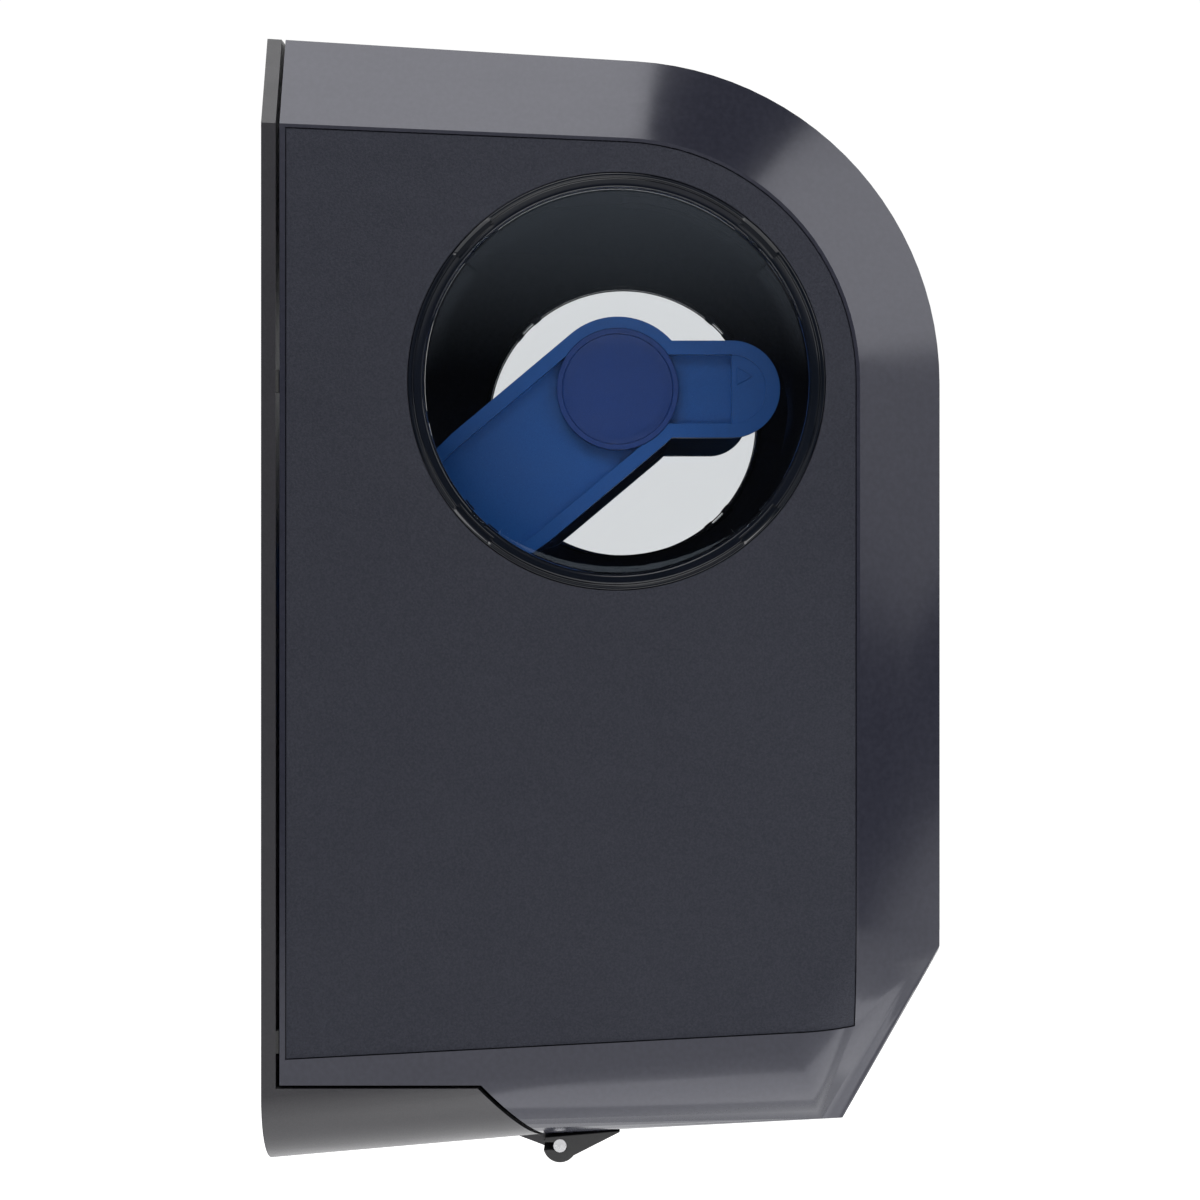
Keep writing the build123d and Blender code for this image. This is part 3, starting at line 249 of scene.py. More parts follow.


# %% [markdown]
# The mould grain is two noises, a coarse one and one four times finer. It gives a height for the bump and a
# painted highlight: the colour is painted lighter on the tops of the grain, which would catch more light,
# and darker in its hollows.

# %% Mould grain and painted highlight
mould_grain, given, grain_out = shader_group("mould_grain", [("Scale", 1800.0)], ["Height", "Mottle"])
coarse_grain = noise(mould_grain, given["Scale"], detail=3.0)
fine_grain = noise(mould_grain, maths(mould_grain, "MULTIPLY", given["Scale"], 4.0), detail=2.0)
grain_height = maths(mould_grain, "ADD", coarse_grain, maths(mould_grain, "MULTIPLY", fine_grain, 0.4))
# The second output is painted light: it makes the colour lighter on the grain's tops and darker in its
# hollows.
fed(mould_grain, grain_out, Height=grain_height, Mottle=ramp(mould_grain, coarse_grain, 0.35, 0.7))
print("group:", mould_grain.name)

# %% [markdown]
# Hands leave broad dull patches and cloths leave fine arcs. One slow noise and one stretched noise are
# enough, because they only change the roughness by a few hundredths.

# %% Handling marks
handling, given, marks_out = shader_group("handling_marks", [("Scale", 14.0)], ["Smudge", "Wipe"])
smudge = ramp(handling, noise(handling, given["Scale"], detail=4.0), 0.35, 0.75)
wipe_scale = maths(handling, "MULTIPLY", given["Scale"], 9.0)
wipe = ramp(handling, noise(handling, wipe_scale, detail=6.0, stretch=(1, 0.25, 1)), 0.4, 0.7)
fed(handling, marks_out, Smudge=smudge, Wipe=wipe)
print("group:", handling.name)

# %% [markdown]
# Dust lies on faces that look up. The normal's height says how much a face looks up, and a fine noise
# breaks the dust into specks.

# %% Settled dust
dust, given, dust_out = shader_group("settled_dust", [("Amount", 0.5), ("Scale", 900.0)], ["Mask"])
facing = dust.nodes.new("ShaderNodeNewGeometry").outputs["Normal"]
upward = fed(dust, dust.nodes.new("ShaderNodeSeparateXYZ"), Vector=facing).outputs["Z"]
specks = ramp(dust, noise(dust, given["Scale"], detail=2.0), 0.52, 0.72)
film = ramp(dust, noise(dust, 30.0, detail=3.0), 0.3, 0.8)
settled = maths(dust, "MULTIPLY", ramp(dust, upward, 0.55, 1.0), maths(dust, "MULTIPLY", specks, film))
fed(dust, dust_out, Mask=maths(dust, "MULTIPLY", settled, given["Amount"]))
print("group:", dust.name)

# %% [markdown]
# Sheet metal and drawn wire have fine lines along one way. Two noises, one squeezed along X and one along
# Z, let a finish choose its way by weighing them.

# %% Drawn lines
drawn, given, drawn_out = shader_group(
    "drawn_lines", [("Scale", 700.0), ("Along X", 1.0), ("Along Z", 0.0)], ["Height", "Streak"])
lines_x = noise(drawn, given["Scale"], detail=3.0, stretch=(0.02, 1, 1))
lines_z = noise(drawn, given["Scale"], detail=3.0, stretch=(1, 1, 0.02))
line_height = maths(drawn, "ADD", maths(drawn, "MULTIPLY", lines_x, given["Along X"]),
                    maths(drawn, "MULTIPLY", lines_z, given["Along Z"]))
fed(drawn, drawn_out, Height=line_height, Streak=ramp(drawn, line_height, 0.3, 0.7))
print("group:", drawn.name)

# %% [markdown]
# ## Finishes
# A plastic finish puts the shared effects on one shader. The two colours are painted shade in the hollows
# of the grain and painted light on its tops. Values that are the same all over stand on the shader's own
# sockets.

# %% Plastic finish helpers
def new_finish(name):
    """A material with nodes. Returns it, its node tree and its shader."""
    material = bpy.data.materials.new(name)
    material.use_nodes = True
    return material, material.node_tree, material.node_tree.nodes["Principled BSDF"]


def placed(tree, group, **values):
    """Places a shared group with its own input values. Returns its outputs."""
    node = tree.nodes.new("ShaderNodeGroup")
    node.node_tree = group
    return fed(tree, node, **values).outputs


def mixed(tree, factor, first, second):
    """A colour between two colours. Each is a socket or three numbers."""
    node = tree.nodes.new("ShaderNodeMix")
    node.data_type = "RGBA"
    for index, value in ((0, factor), (6, first), (7, second)):
        feed(tree, node.inputs[index], (*value, 1.0) if isinstance(value, tuple) else value)
    return node.outputs[2]


def bumped(tree, height, depth):
    """A normal that lets a height pattern tilt the light on the surface. Depth is in metres."""
    return wired(tree, "ShaderNodeBump", Strength=1.0, Distance=depth, Height=height)


# %% Plastic
DUST_COLOUR = (0.32, 0.31, 0.29)
SMUDGE_SHARE, WIPE_SHARE = 0.6, 0.4


def plastic(name, shaded_hollow, top, rough, grain, dust_amount=0.3, ior=1.5, sheen_tint=(1.0, 1.0, 1.0)):
    """A moulded plastic. Rough holds two limits, grain its scale and its depth in metres."""
    material, tree, shader = new_finish(name)
    mould = placed(tree, mould_grain, Scale=grain[0])
    marks = placed(tree, handling)
    dusted = placed(tree, dust, Amount=dust_amount)["Mask"]
    # Painted light and shade: the colour is lighter on the grain's tops and darker in its hollows.
    grain_lit_colour = mixed(tree, mould["Mottle"], shaded_hollow, top)
    worn = maths(tree, "ADD", maths(tree, "MULTIPLY", marks["Smudge"], SMUDGE_SHARE),
                 maths(tree, "MULTIPLY", marks["Wipe"], WIPE_SHARE))
    dull = ramp(tree, maths(tree, "MAXIMUM", worn, dusted), start=rough[0], end=rough[1])
    fed(tree, shader, Base_Color=mixed(tree, dusted, grain_lit_colour, DUST_COLOUR), Roughness=dull, IOR=ior,
        Specular_Tint=(*sheen_tint, 1.0), Normal=bumped(tree, mould["Height"], grain[1]))
    return material


# %% [markdown]
# The cover is a smoky black moulding with a polished surface, so its grain is almost nothing and its
# reflections are soft but clear. The side panel comes from an etched mould: its grain is coarse enough to
# see.

# %% Cover, panel and wall plate plastics
finishes = {}
# The first two colours of each plastic are painted shade in the grain's hollows and painted light on its
# tops.
outer_plastics = {
    "cover_gloss": dict(
        name="smoke_gloss", shaded_hollow=(0.02, 0.021, 0.031), top=(0.025, 0.026, 0.038), rough=(0.13, 0.2),
        grain=(500.0, 1.2e-6), dust_amount=0.35, sheen_tint=(0.93, 0.93, 1.0)),
    "panel_texture": dict(
        name="etched_charcoal", shaded_hollow=(0.008, 0.0085, 0.014), top=(0.019, 0.02, 0.029), rough=(0.5, 0.62),
        grain=(1500.0, 3e-4), dust_amount=0.2, ior=1.42, sheen_tint=(0.82, 0.86, 1.0)),
    "back_plastic": dict(
        name="satin_black", shaded_hollow=(0.016, 0.0155, 0.019), top=(0.024, 0.023, 0.028), rough=(0.32, 0.42),
        grain=(2200.0, 3e-5), dust_amount=0.5),
    "hinge_plastic": dict(
        name="matt_black", shaded_hollow=(0.012, 0.012, 0.013), top=(0.02, 0.02, 0.021), rough=(0.4, 0.5),
        grain=(2400.0, 4e-5)),
}
for slot_name, recipe in outer_plastics.items():
    finishes[slot_name] = plastic(**recipe)
print("plastics:", sorted(finishes))

# %% [markdown]
# The arms are a strong blue, the hubs a darker navy. Inside there are greys, a bearing white and black
# rubber. They are all the same kind of plastic with other colours, and rubber is the dullest.

# %% Inner plastics
# The first two colours of each plastic are painted shade in the grain's hollows and painted light on its
# tops.
inner_plastics = {
    "arm_blue": dict(shaded_hollow=(0.006, 0.07, 0.275), top=(0.0085, 0.082, 0.31), rough=(0.32, 0.42),
                     grain=(1600.0, 3e-5), dust_amount=0.15),
    "hub_navy": dict(shaded_hollow=(0.0085, 0.036, 0.17), top=(0.0105, 0.042, 0.19), rough=(0.3, 0.4),
                     grain=(1600.0, 3e-5), dust_amount=0.15),
    "drum_grey": dict(shaded_hollow=(0.24, 0.245, 0.26), top=(0.3, 0.305, 0.32), rough=(0.35, 0.45),
                      grain=(1800.0, 3e-5)),
    "grip_rubber": dict(shaded_hollow=(0.012, 0.012, 0.012), top=(0.025, 0.025, 0.025), rough=(0.7, 0.85),
                        grain=(2600.0, 1e-4)),
    "wheel_blue": dict(shaded_hollow=(0.01, 0.075, 0.3), top=(0.014, 0.09, 0.35), rough=(0.3, 0.4),
                       grain=(1800.0, 3e-5)),
    "guide_grey": dict(shaded_hollow=(0.02, 0.02, 0.022), top=(0.03, 0.03, 0.033), rough=(0.38, 0.5),
                       grain=(2000.0, 4e-5)),
    "bush_white": dict(shaded_hollow=(0.62, 0.61, 0.56), top=(0.7, 0.69, 0.64), rough=(0.4, 0.5),
                       grain=(2000.0, 2e-5)),
}
for slot_name, recipe in inner_plastics.items():
    finishes[slot_name] = plastic(slot_name, **recipe)
print("plastics:", len(finishes))

# %% [markdown]
# Metals take their colour from reflection, so the shader's Metallic is full. Zinc plate is dull and cloudy,
# drawn steel has lines, and the lock is polished.

# %% Metals
def metal(name, dark, bright, rough, lines, along_z=0.0):
    """A bare or plated metal. Rough holds two limits, lines their scale and their depth in metres."""
    material, tree, shader = new_finish(name)
    grooves = placed(tree, drawn, Scale=lines[0], Along_X=1.0 - along_z, Along_Z=along_z)
    smudge = placed(tree, handling, Scale=40.0)["Smudge"]
    dusted = placed(tree, dust, Amount=0.25)["Mask"]
    bare = mixed(tree, maths(tree, "MULTIPLY", grooves["Streak"], smudge), dark, bright)
    fed(tree, shader, Base_Color=mixed(tree, dusted, bare, DUST_COLOUR), Metallic=1.0,
        Roughness=ramp(tree, smudge, start=rough[0], end=rough[1]),
        Normal=bumped(tree, grooves["Height"], lines[1]))
    return material


metals = {
    "steel": dict(name="drawn_steel", dark=(0.48, 0.48, 0.49), bright=(0.68, 0.68, 0.69),
                  rough=(0.22, 0.34), lines=(900.0, 1e-5)),
    "zinc": dict(name="zinc_plate", dark=(0.5, 0.5, 0.48), bright=(0.66, 0.66, 0.63),
                 rough=(0.34, 0.48), lines=(500.0, 1e-5), along_z=0.8),
    "chrome_lock": dict(name="lock_plate", dark=(0.62, 0.62, 0.63), bright=(0.8, 0.8, 0.81),
                        rough=(0.08, 0.16), lines=(400.0, 4e-6)),
    "blade_steel": dict(name="ground_steel", dark=(0.55, 0.55, 0.57), bright=(0.76, 0.76, 0.78),
                        rough=(0.16, 0.26), lines=(1200.0, 8e-6), along_z=1.0),
}
for slot_name, recipe in metals.items():
    finishes[slot_name] = metal(**recipe)
print("finishes:", len(finishes))

# %% [markdown]
# The window is a clear moulding with a trace of smoke. Light must pass through it, so Transmission Weight
# is full, and only faint smudges change its roughness. Cycles lets no lamp shine straight through such
# glass, so the material is fully transparent to shadow rays alone. That lights the arms behind it.

# %% Window finish
WINDOW_IOR = 1.49
window_clear, window_tree, window_shader = new_finish("window_clear")
marks = placed(window_tree, handling, Scale=22.0)
ray = window_tree.nodes.new("ShaderNodeLightPath").outputs
fed(window_tree, window_shader, Transmission_Weight=1.0, IOR=WINDOW_IOR,
    Specular_Tint=(0.72, 0.84, 1.0, 1.0),
    Base_Color=mixed(window_tree, marks["Smudge"], (0.952, 0.976, 1.0), (0.945, 0.97, 0.996)),
    Roughness=ramp(window_tree, marks["Wipe"], start=0.0, end=0.008),
    Alpha=maths(window_tree, "SUBTRACT", 1.0, ray["Is Shadow Ray"]))
finishes["window_smoke"] = window_clear
print("finish:", window_clear.name)

# %% [markdown]
# The rim of the window is the same moulding, but it lies on the black wall of the cover, and one looks
# along it through many millimetres of smoked plastic. Nothing shows through it, so its finish is a polished
# black. The light that it does show comes from its rounded edges.

# %% Window rim finish
rim_smoke, rim_tree, rim_shader = new_finish("rim_smoke")
marks = placed(rim_tree, handling, Scale=30.0)
fed(rim_tree, rim_shader, IOR=WINDOW_IOR,
    Base_Color=mixed(rim_tree, marks["Smudge"], (0.004, 0.0055, 0.009), (0.006, 0.0075, 0.012)),
    Roughness=ramp(rim_tree, marks["Wipe"], start=0.04, end=0.09))
print("finish:", rim_smoke.name)

# %% [markdown]
# The floor is plain and pale. It glows a little, so that it fades into the white room as it does in a
# studio where the floor is lit.

# %% Floor finish
floor_pale, floor_tree, floor_shader = new_finish("floor_pale")
mottle = noise(floor_tree, scale=2.0, detail=3.0)
fed(floor_tree, floor_shader, Roughness=0.9, Emission_Color=(1.0, 1.0, 1.0, 1.0), Emission_Strength=1.0,
    Base_Color=mixed(floor_tree, mottle, (0.86, 0.86, 0.86), (0.9, 0.9, 0.9)))
floor.data.materials.append(floor_pale)
print("finish:", floor_pale.name)

# %% [markdown]
# ## Dress the solids
# Each CAD solid names the finish it was given in its record. Where the solid's shape is right, it keeps its
# mesh and only its material slots change.

# %% Give each solid its finish
for node_name, node in frame["nodes"].items():
    for slot in node.material_slots:
        given = slot.material.name.split(".")[0]
        slot.material = finishes.get(given, finishes["back_plastic"])
    print(node_name, [slot.material.name for slot in node.material_slots])

# %% [markdown]
# ## Helpers for new pieces
# Most solids keep their CAD mesh. Some get a piece of their own that stands for them: it has the soft
# edges, coils, recesses or curves that the solid leaves out. Every new piece ends the same way. It lies at
# the origin with its place in its mesh, it rides on the body of the solid that it replaces, and it is
# smooth except at its sharp edges.

# %% New piece helpers
bodies = frame["record"]["behaviour"]["bodies"]
body_of_node = {member: body for body, members in bodies.items() for member in members}
slot_of_node = {entry["node"]: entry["material_slot"] for entry in frame["record"]["subparts"]}


def stands_for(piece, node_name):
    """Ends a piece: it takes the finish, place and body of a CAD solid."""
    piece.data.materials.clear()
    piece.data.materials.append(finishes[slot_of_node[node_name]])
    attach(piece, body_of_node[node_name])
    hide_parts(node_name)
    print(piece.name, len(piece.data.polygons), "faces")


def smooth_shaded(piece, angle=35):
    """Smooth shading that still breaks at edges sharper than an angle in degrees."""
    piece.data.shade_smooth()
    piece.data.set_sharp_from_angle(angle=math.radians(angle))


def modified(piece):
    """Makes a piece's modifiers part of its mesh and takes them off."""
    depsgraph = bpy.context.evaluated_depsgraph_get()
    mesh = bpy.data.meshes.new_from_object(piece.evaluated_get(depsgraph))
    piece.modifiers.clear()
    piece.data = mesh


SIDES = {"left": -1, "right": 1}
print("bodies:", sorted(bodies))

# %% [markdown]
# ## The windows
# Each side has a round window: a clear, slightly domed pane with a raised rim. Going out from the pane, the
# rim has a small wall, a flat band, a groove, a thin bead and an outer edge, and each turn is rounded. At
# four places the band gives way to a sunk pocket, where the mould formed a snap clip behind it. A lathe
# shape alone can't have pockets, so the profile is turned about the window's axis step by step, and another
# profile is used inside the pockets. Both have the same number of points, so the faces between them make
# the pockets' end walls.

# %% The pane's profile
AXIS_Y = -127.0
AXIS_Z = 76.0
PANE_EDGE = 69.6
PANE_SEAT = 156.4
PANE_FRONT = 0.15
PANE_REAR = -1.85
DOME = 1.0
PANE_STEPS = 12
BACK_RADIUS = 67.8


def dome_points(lift, reach, steps):
    """Points of a domed face of the pane, as distance out and radius."""
    points = []
    for step in steps:
        radius = reach * step / PANE_STEPS
        points.append((PANE_SEAT + lift + DOME * (1 - (radius / PANE_EDGE) ** 2), radius))
    return points


pane_front = dome_points(PANE_FRONT, PANE_EDGE - 0.7, range(1, PANE_STEPS + 1))
pane_back = dome_points(PANE_REAR, BACK_RADIUS, range(PANE_STEPS - 1, 0, -1))
print("pane points:", len(pane_front), len(pane_back))

# %% [markdown]
# The rim is drawn as a moulder would draw its section: short straight walls with a small rounding at each
# turn. Behind it, a spigot goes through the cover, with a snap hook in each pocket.

# %% The rim's profile
BAND_FACE = 157.45
BAND_ROUND = 0.25
WALL_ROUND = 0.45
OUTER_ROUND = 0.4
POCKET_FLOOR = 156.8
SPIGOT_RADIUS = 71.6
SPIGOT_END = 153.0
POCKET_WIDTH = 1.7
HOOK_REACH = 1.6


def edge_round(out, radius, size, start, end, steps):
    """Points of a rounded edge about one centre. Degrees count from away from the axis to outward."""
    points = []
    for step in range(steps + 1):
        angle = math.radians(start + (end - start) * step / steps)
        points.append((out + size * math.sin(angle), radius + size * math.cos(angle)))
    return points


def rim_points(in_pocket):
    """The rim from the pane's edge to its outer edge, as distance out and radius."""
    wall = [(156.42, 69.0), (157.1, 69.55)] + edge_round(157.25, 70.0, WALL_ROUND, 180, 90, 5)
    outer = edge_round(157.15, 74.2, OUTER_ROUND, 90, 0, 4)
    if in_pocket:
        floor_points = [(POCKET_FLOOR, SPIGOT_RADIUS + POCKET_WIDTH * step / 10) for step in range(11)]
        return wall + edge_round(BAND_FACE, 70.9, BAND_ROUND, 90, 0, 3) + floor_points + outer
    bead = edge_round(BAND_FACE, 73.0, BAND_ROUND, 180, 0, 6)
    groove_in, groove_out = [(157.3, 72.6), (157.3, 72.72)], [(157.35, 73.28), (157.5, 73.6)]
    return wall + edge_round(BAND_FACE, 72.3, BAND_ROUND, 90, 0, 3) + groove_in + bead + groove_out + outer


def hidden_points(in_pocket):
    """The rim's back: its seat on the cover, and the spigot with its snap hooks."""
    hook = SPIGOT_RADIUS + (HOOK_REACH if in_pocket else 0.0)
    inner = 70.3 if in_pocket else 69.3
    return [(156.45, 74.6), (PANE_SEAT, 74.4), (PANE_SEAT, SPIGOT_RADIUS), (154.7, SPIGOT_RADIUS + 0.01),
            (154.65, hook), (153.9, hook), (153.1, SPIGOT_RADIUS), (SPIGOT_END, 71.4),
            (SPIGOT_END, inner + 0.3), (153.15, inner), (154.4, inner - 0.1), (154.55, 68.4)]


def window_profile(in_pocket):
    """The whole section of a window, from the middle of its front round to the middle of its back."""
    return pane_front + rim_points(in_pocket) + hidden_points(in_pocket) + pane_back


print("profile points:", len(window_profile(False)), len(window_profile(True)))

# %% [markdown]
# Turning the section gives the window. Beside each pocket the steps are very small, so its end walls are
# steep. The faces beyond the pane get the rim's finish, but at each clip the clear part reaches further
# out.

# %% Turn the windows
WINDOW_STEPS = 240
POCKET_ANGLES = (45.0, 135.0, 225.0, 315.0)
POCKET_HALF_ANGLE = 7.0
POCKET_END_ANGLE = 0.1
CLIP_HALF_ANGLE = 3.5
CLEAR_RADIUS = 69.2
CLEAR_CLIP_RADIUS = 70.3


def window_angles(steps):
    """Angles round the window, each with whether it is in a pocket. Pocket ends are a fine double step."""
    angles = []
    for step in range(steps):
        angle = 360.0 * step / steps
        offset = min(abs(angle - middle) for middle in POCKET_ANGLES)
        if abs(offset - POCKET_HALF_ANGLE) > 3 * POCKET_END_ANGLE:
            angles.append((angle, offset < POCKET_HALF_ANGLE))
    for middle in POCKET_ANGLES:
        for sign in (-1, 1):
            angles.append((middle + sign * (POCKET_HALF_ANGLE - POCKET_END_ANGLE), True))
            angles.append((middle + sign * (POCKET_HALF_ANGLE + POCKET_END_ANGLE), False))
    return sorted(angles)


def turned_rows(shape, side, profiles):
    """Corners turned about the roll's axis and joined by faces. Profiles are angles with their points."""
    rows = []
    for angle, points in profiles:
        cosine, sine = math.cos(math.radians(angle)), math.sin(math.radians(angle))
        places = [Vector((side * out, AXIS_Y + radius * cosine, AXIS_Z + radius * sine)) * MM
                  for out, radius in points]
        rows.append([shape.verts.new(place) for place in places])
    skinned(shape, rows)
    return rows


def window_piece(node_name, side):
    """A whole window. Side is 1 for the right and -1 for the left."""
    shape = bmesh.new()
    profiles = [(angle, window_profile(in_pocket)) for angle, in_pocket in window_angles(WINDOW_STEPS)]
    rows = turned_rows(shape, side, profiles)
    front, rear = [shape.verts.new(Vector((side * (PANE_SEAT + lift + DOME), AXIS_Y, AXIS_Z)) * MM)
                   for lift in (PANE_FRONT, PANE_REAR)]
    for row, after in zip(rows, rows[1:] + rows[:1]):
        shape.faces.new((front, row[0], after[0]))
        shape.faces.new((rear, after[-1], row[-1]))
    bmesh.ops.recalc_face_normals(shape, faces=shape.faces)
    piece = piece_from(node_name + "_pane", shape)
    smooth_shaded(piece, angle=50)
    stands_for(piece, node_name)
    piece.data.materials.append(rim_smoke)
    for face in piece.data.polygons:
        place = face.center / MM
        turn = math.degrees(math.atan2(place.z - AXIS_Z, place.y - AXIS_Y)) % 360
        from_clip = min(abs(turn - clip) for clip in POCKET_ANGLES)
        clear_edge = CLEAR_CLIP_RADIUS if from_clip < CLIP_HALF_ANGLE else CLEAR_RADIUS
        face.material_index = int(math.hypot(place.y - AXIS_Y, place.z - AXIS_Z) > clear_edge)


for side_name, side in SIDES.items():
    window_piece("window_" + side_name, side)

# %% [markdown]
# ## Soft edges
# A solid from CAD has knife edges, and a moulded or pressed piece never has: its edges are rounded by a few
# tenths of a millimetre, and they catch a thin line of light. A copy of the solid is merged, its flat faces
# are joined, and a Bevel modifier rounds the sharp edges. The solid itself stays as it is, for collision.

# %% Soft edges
MERGE_WITHIN = 0.002
FLAT_ANGLE = 0.5
SHARP_ANGLE = 32


def merged_shape(node_name):
    """A CAD solid's faces as an editable mesh, with doubled corners merged and flat faces joined."""
    source = frame["nodes"][node_name].data
    loose = bpy.data.meshes.new("loose")
    loose.from_pydata([v.co for v in source.vertices], [], [list(p.vertices) for p in source.polygons])
    shape = bmesh.new()
    shape.from_mesh(loose)
    bpy.data.meshes.remove(loose)
    bmesh.ops.remove_doubles(shape, verts=shape.verts, dist=MERGE_WITHIN * MM)
    bmesh.ops.dissolve_limit(shape, angle_limit=math.radians(FLAT_ANGLE),
                             verts=shape.verts, edges=shape.edges)
    return shape


def soft_edged(node_name, width):
    """A copy of a CAD solid with its sharp edges rounded. Width is in millimetres."""
    piece = piece_from(node_name + "_soft", merged_shape(node_name))
    piece.data.shade_smooth()
    rounding = piece.modifiers.new("rounding", "BEVEL")
    rounding.limit_method = "ANGLE"
    rounding.angle_limit = math.radians(SHARP_ANGLE)
    rounding.width = width * MM
    rounding.segments = 2
    rounding.harden_normals = True
    modified(piece)
    stands_for(piece, node_name)
    return piece


soft_pairs = {"roll_arm": 0.5, "roll_hub": 0.35, "hinge_knuckle": 0.4, "arm_bracket": 0.3,
              "mechanism_plate": 0.4, "drum_cap": 0.3}
soft_pieces = {}
for stem, width in soft_pairs.items():
    for side_name in SIDES:
        node_name = stem + "_" + side_name
        soft_pieces[node_name] = soft_edged(node_name, width)

# %% [markdown]
# ## The cover's lower front
# Below the front, the cover has a slanted facet. On the real cover the facet starts lower than on the CAD
# solid, the edge beside it is rounded more tightly, and the bottom hangs a few millimetres lower. A copy of
# the solid is merged, and its corners there are moved. First, the two outlines are named by their heights.

# %% The cover's outlines
HALF_WIDTH = 158.0
FRONT_Y = -244.3
SIDE_FRONT_Y = -214.0
CORNER_Y = -208.0
WALL = 3.3
SOLID_HEIGHTS = {FRONT_Y: -121.0, CORNER_Y: -191.1, 0.0: -209.4}
REAL_HEIGHTS = {FRONT_Y: -130.6, CORNER_Y: -194.9, 0.0: -210.6}
facet = Vector((0, CORNER_Y - FRONT_Y, SOLID_HEIGHTS[CORNER_Y] - SOLID_HEIGHTS[FRONT_Y])).normalized()
FACET_INWARD = Vector((0, -facet.z, facet.y))


def along(heights, y):
    """The height of the lower outline at one Y: the facet in front of the corner, then the bottom."""
    ends = (FRONT_Y, CORNER_Y) if y < CORNER_Y else (CORNER_Y, 0.0)
    share = (y - ends[0]) / (ends[1] - ends[0])
    return heights[ends[0]] * (1 - share) + heights[ends[1]] * share


def eased(value):
    """Goes softly from 0 to 1, and is held outside that."""
    value = max(0.0, min(1.0, value))
    return value * value * (3 - 2 * value)


print("the facet starts", round(SOLID_HEIGHTS[FRONT_Y] - REAL_HEIGHTS[FRONT_Y], 1), "mm lower")

# %% [markdown]
# The tighter rounding pushes a corner out from the centre of the wide one. The corner goes straight down
# for that wherever it can, because that keeps upright edges upright, and it never leaves the side or the
# bottom.

# %% The tighter rounding
BEVEL_DEPTH = 12.0
SOLID_ROUND = 29.0
REAL_ROUND = 14.0
PANEL_FRONT_Y = -213.6
PANEL_LOW = (-157.2, -168.0)


def bottom_height(y):
    """The height of the solid's bottom face at one Y, also where it would run on under the facet."""
    rise = (SOLID_HEIGHTS[0.0] - SOLID_HEIGHTS[CORNER_Y]) / -CORNER_Y
    return SOLID_HEIGHTS[CORNER_Y] + rise * (y - CORNER_Y)


def side_reach(place):
    """How far the outside lies from the middle: at the side, its front bevel or the bottom's edge."""
    bevel = BEVEL_DEPTH * min(1.0, max(0.0, (SIDE_FRONT_Y - place.y) / (SIDE_FRONT_Y - FRONT_Y)))
    rise = min(SOLID_ROUND, max(0.0, place.z - bottom_height(place.y)))
    edge = SOLID_ROUND - math.sqrt(SOLID_ROUND ** 2 - (SOLID_ROUND - rise) ** 2)
    return HALF_WIDTH - max(bevel, edge)


def round_limit(cosine, sine):
    """How far the real rounding lies from the centre of the solid's rounding, in one direction."""
    limit = SOLID_ROUND / max(cosine, sine)
    flat = SOLID_ROUND - REAL_ROUND
    if limit * min(cosine, sine) > flat:
        both = flat * (cosine + sine)
        limit = both + math.sqrt(both ** 2 - 2 * flat ** 2 + REAL_ROUND ** 2)
    return limit


def squared(place):
    """Moves a corner in the solid's rounding beside the facet out to the real rounding. In millimetres."""
    side = abs(place.x)
    depth = (place.y - FRONT_Y) * FACET_INWARD.y + (place.z - SOLID_HEIGHTS[FRONT_Y]) * FACET_INWARD.z
    out, down = side - (HALF_WIDTH - SOLID_ROUND), SOLID_ROUND - depth
    panel_low = PANEL_LOW[1] + (PANEL_LOW[0] - PANEL_LOW[1]) * place.y / PANEL_FRONT_Y
    beside_panel = place.y > PANEL_FRONT_Y and place.z > panel_low
    if out <= 0 or down <= 0 or beside_panel:
        return place
    length = math.hypot(out, down)
    growth = round_limit(out / length, down / length) / SOLID_ROUND
    needed = down * (growth - 1)
    above_bottom = place.z - bottom_height(place.y)
    drop = min(needed / FACET_INWARD.z, above_bottom - min(WALL, above_bottom))
    forward = (needed - drop * FACET_INWARD.z) / FACET_INWARD.y
    moved = place - Vector((0, forward, drop))
    slack = min(WALL, max(0.0, side_reach(place) - side))
    new_side = min(HALF_WIDTH - SOLID_ROUND + out * growth, side_reach(moved) - slack)
    moved.x = math.copysign(new_side, place.x)
    return moved


print("the rounding goes from", SOLID_ROUND, "to", REAL_ROUND, "mm")

# %% [markdown]
# Then the corners go down to the lower outline. The shift is whole along the bottom and fades out above it,
# so the textured panel still fits its recess. It fades out towards the hinge too.

# %% Reshape the cover
FULL_SHIFT = 8.0
SIDE_FADE = 24.0
FRONT_FADE = 36.0
FRONT_START = 30.0
HINGE_CLEAR_Y = -108.0
HINGE_START = 14.0
ROUNDING_BACK_Y = CORNER_Y + 22.0
ROUNDING_TOP = SOLID_HEIGHTS[FRONT_Y] + 30.0
SMOOTH_ANGLE = 16
SMOOTH_ROUND_ANGLE = 56


def lowered(place):
    """Moves a corner of the solid straight down to the real cover's outline. In millimetres."""
    height = place.z - along(SOLID_HEIGHTS, place.y)
    fade = SIDE_FADE + FRONT_FADE * eased((SIDE_FRONT_Y - place.y) / FRONT_START)
    shift = along(REAL_HEIGHTS, place.y) - along(SOLID_HEIGHTS, place.y)
    share = 1 - eased((height - FULL_SHIFT) / (fade - FULL_SHIFT))
    return place + Vector((0, 0, shift * share * eased((HINGE_CLEAR_Y - place.y) / HINGE_START)))


def in_rounding(place):
    """Whether a place is in the tight rounding beside the facet, where faces meet at wider angles."""
    return place.y < ROUNDING_BACK_Y and place.z < ROUNDING_TOP


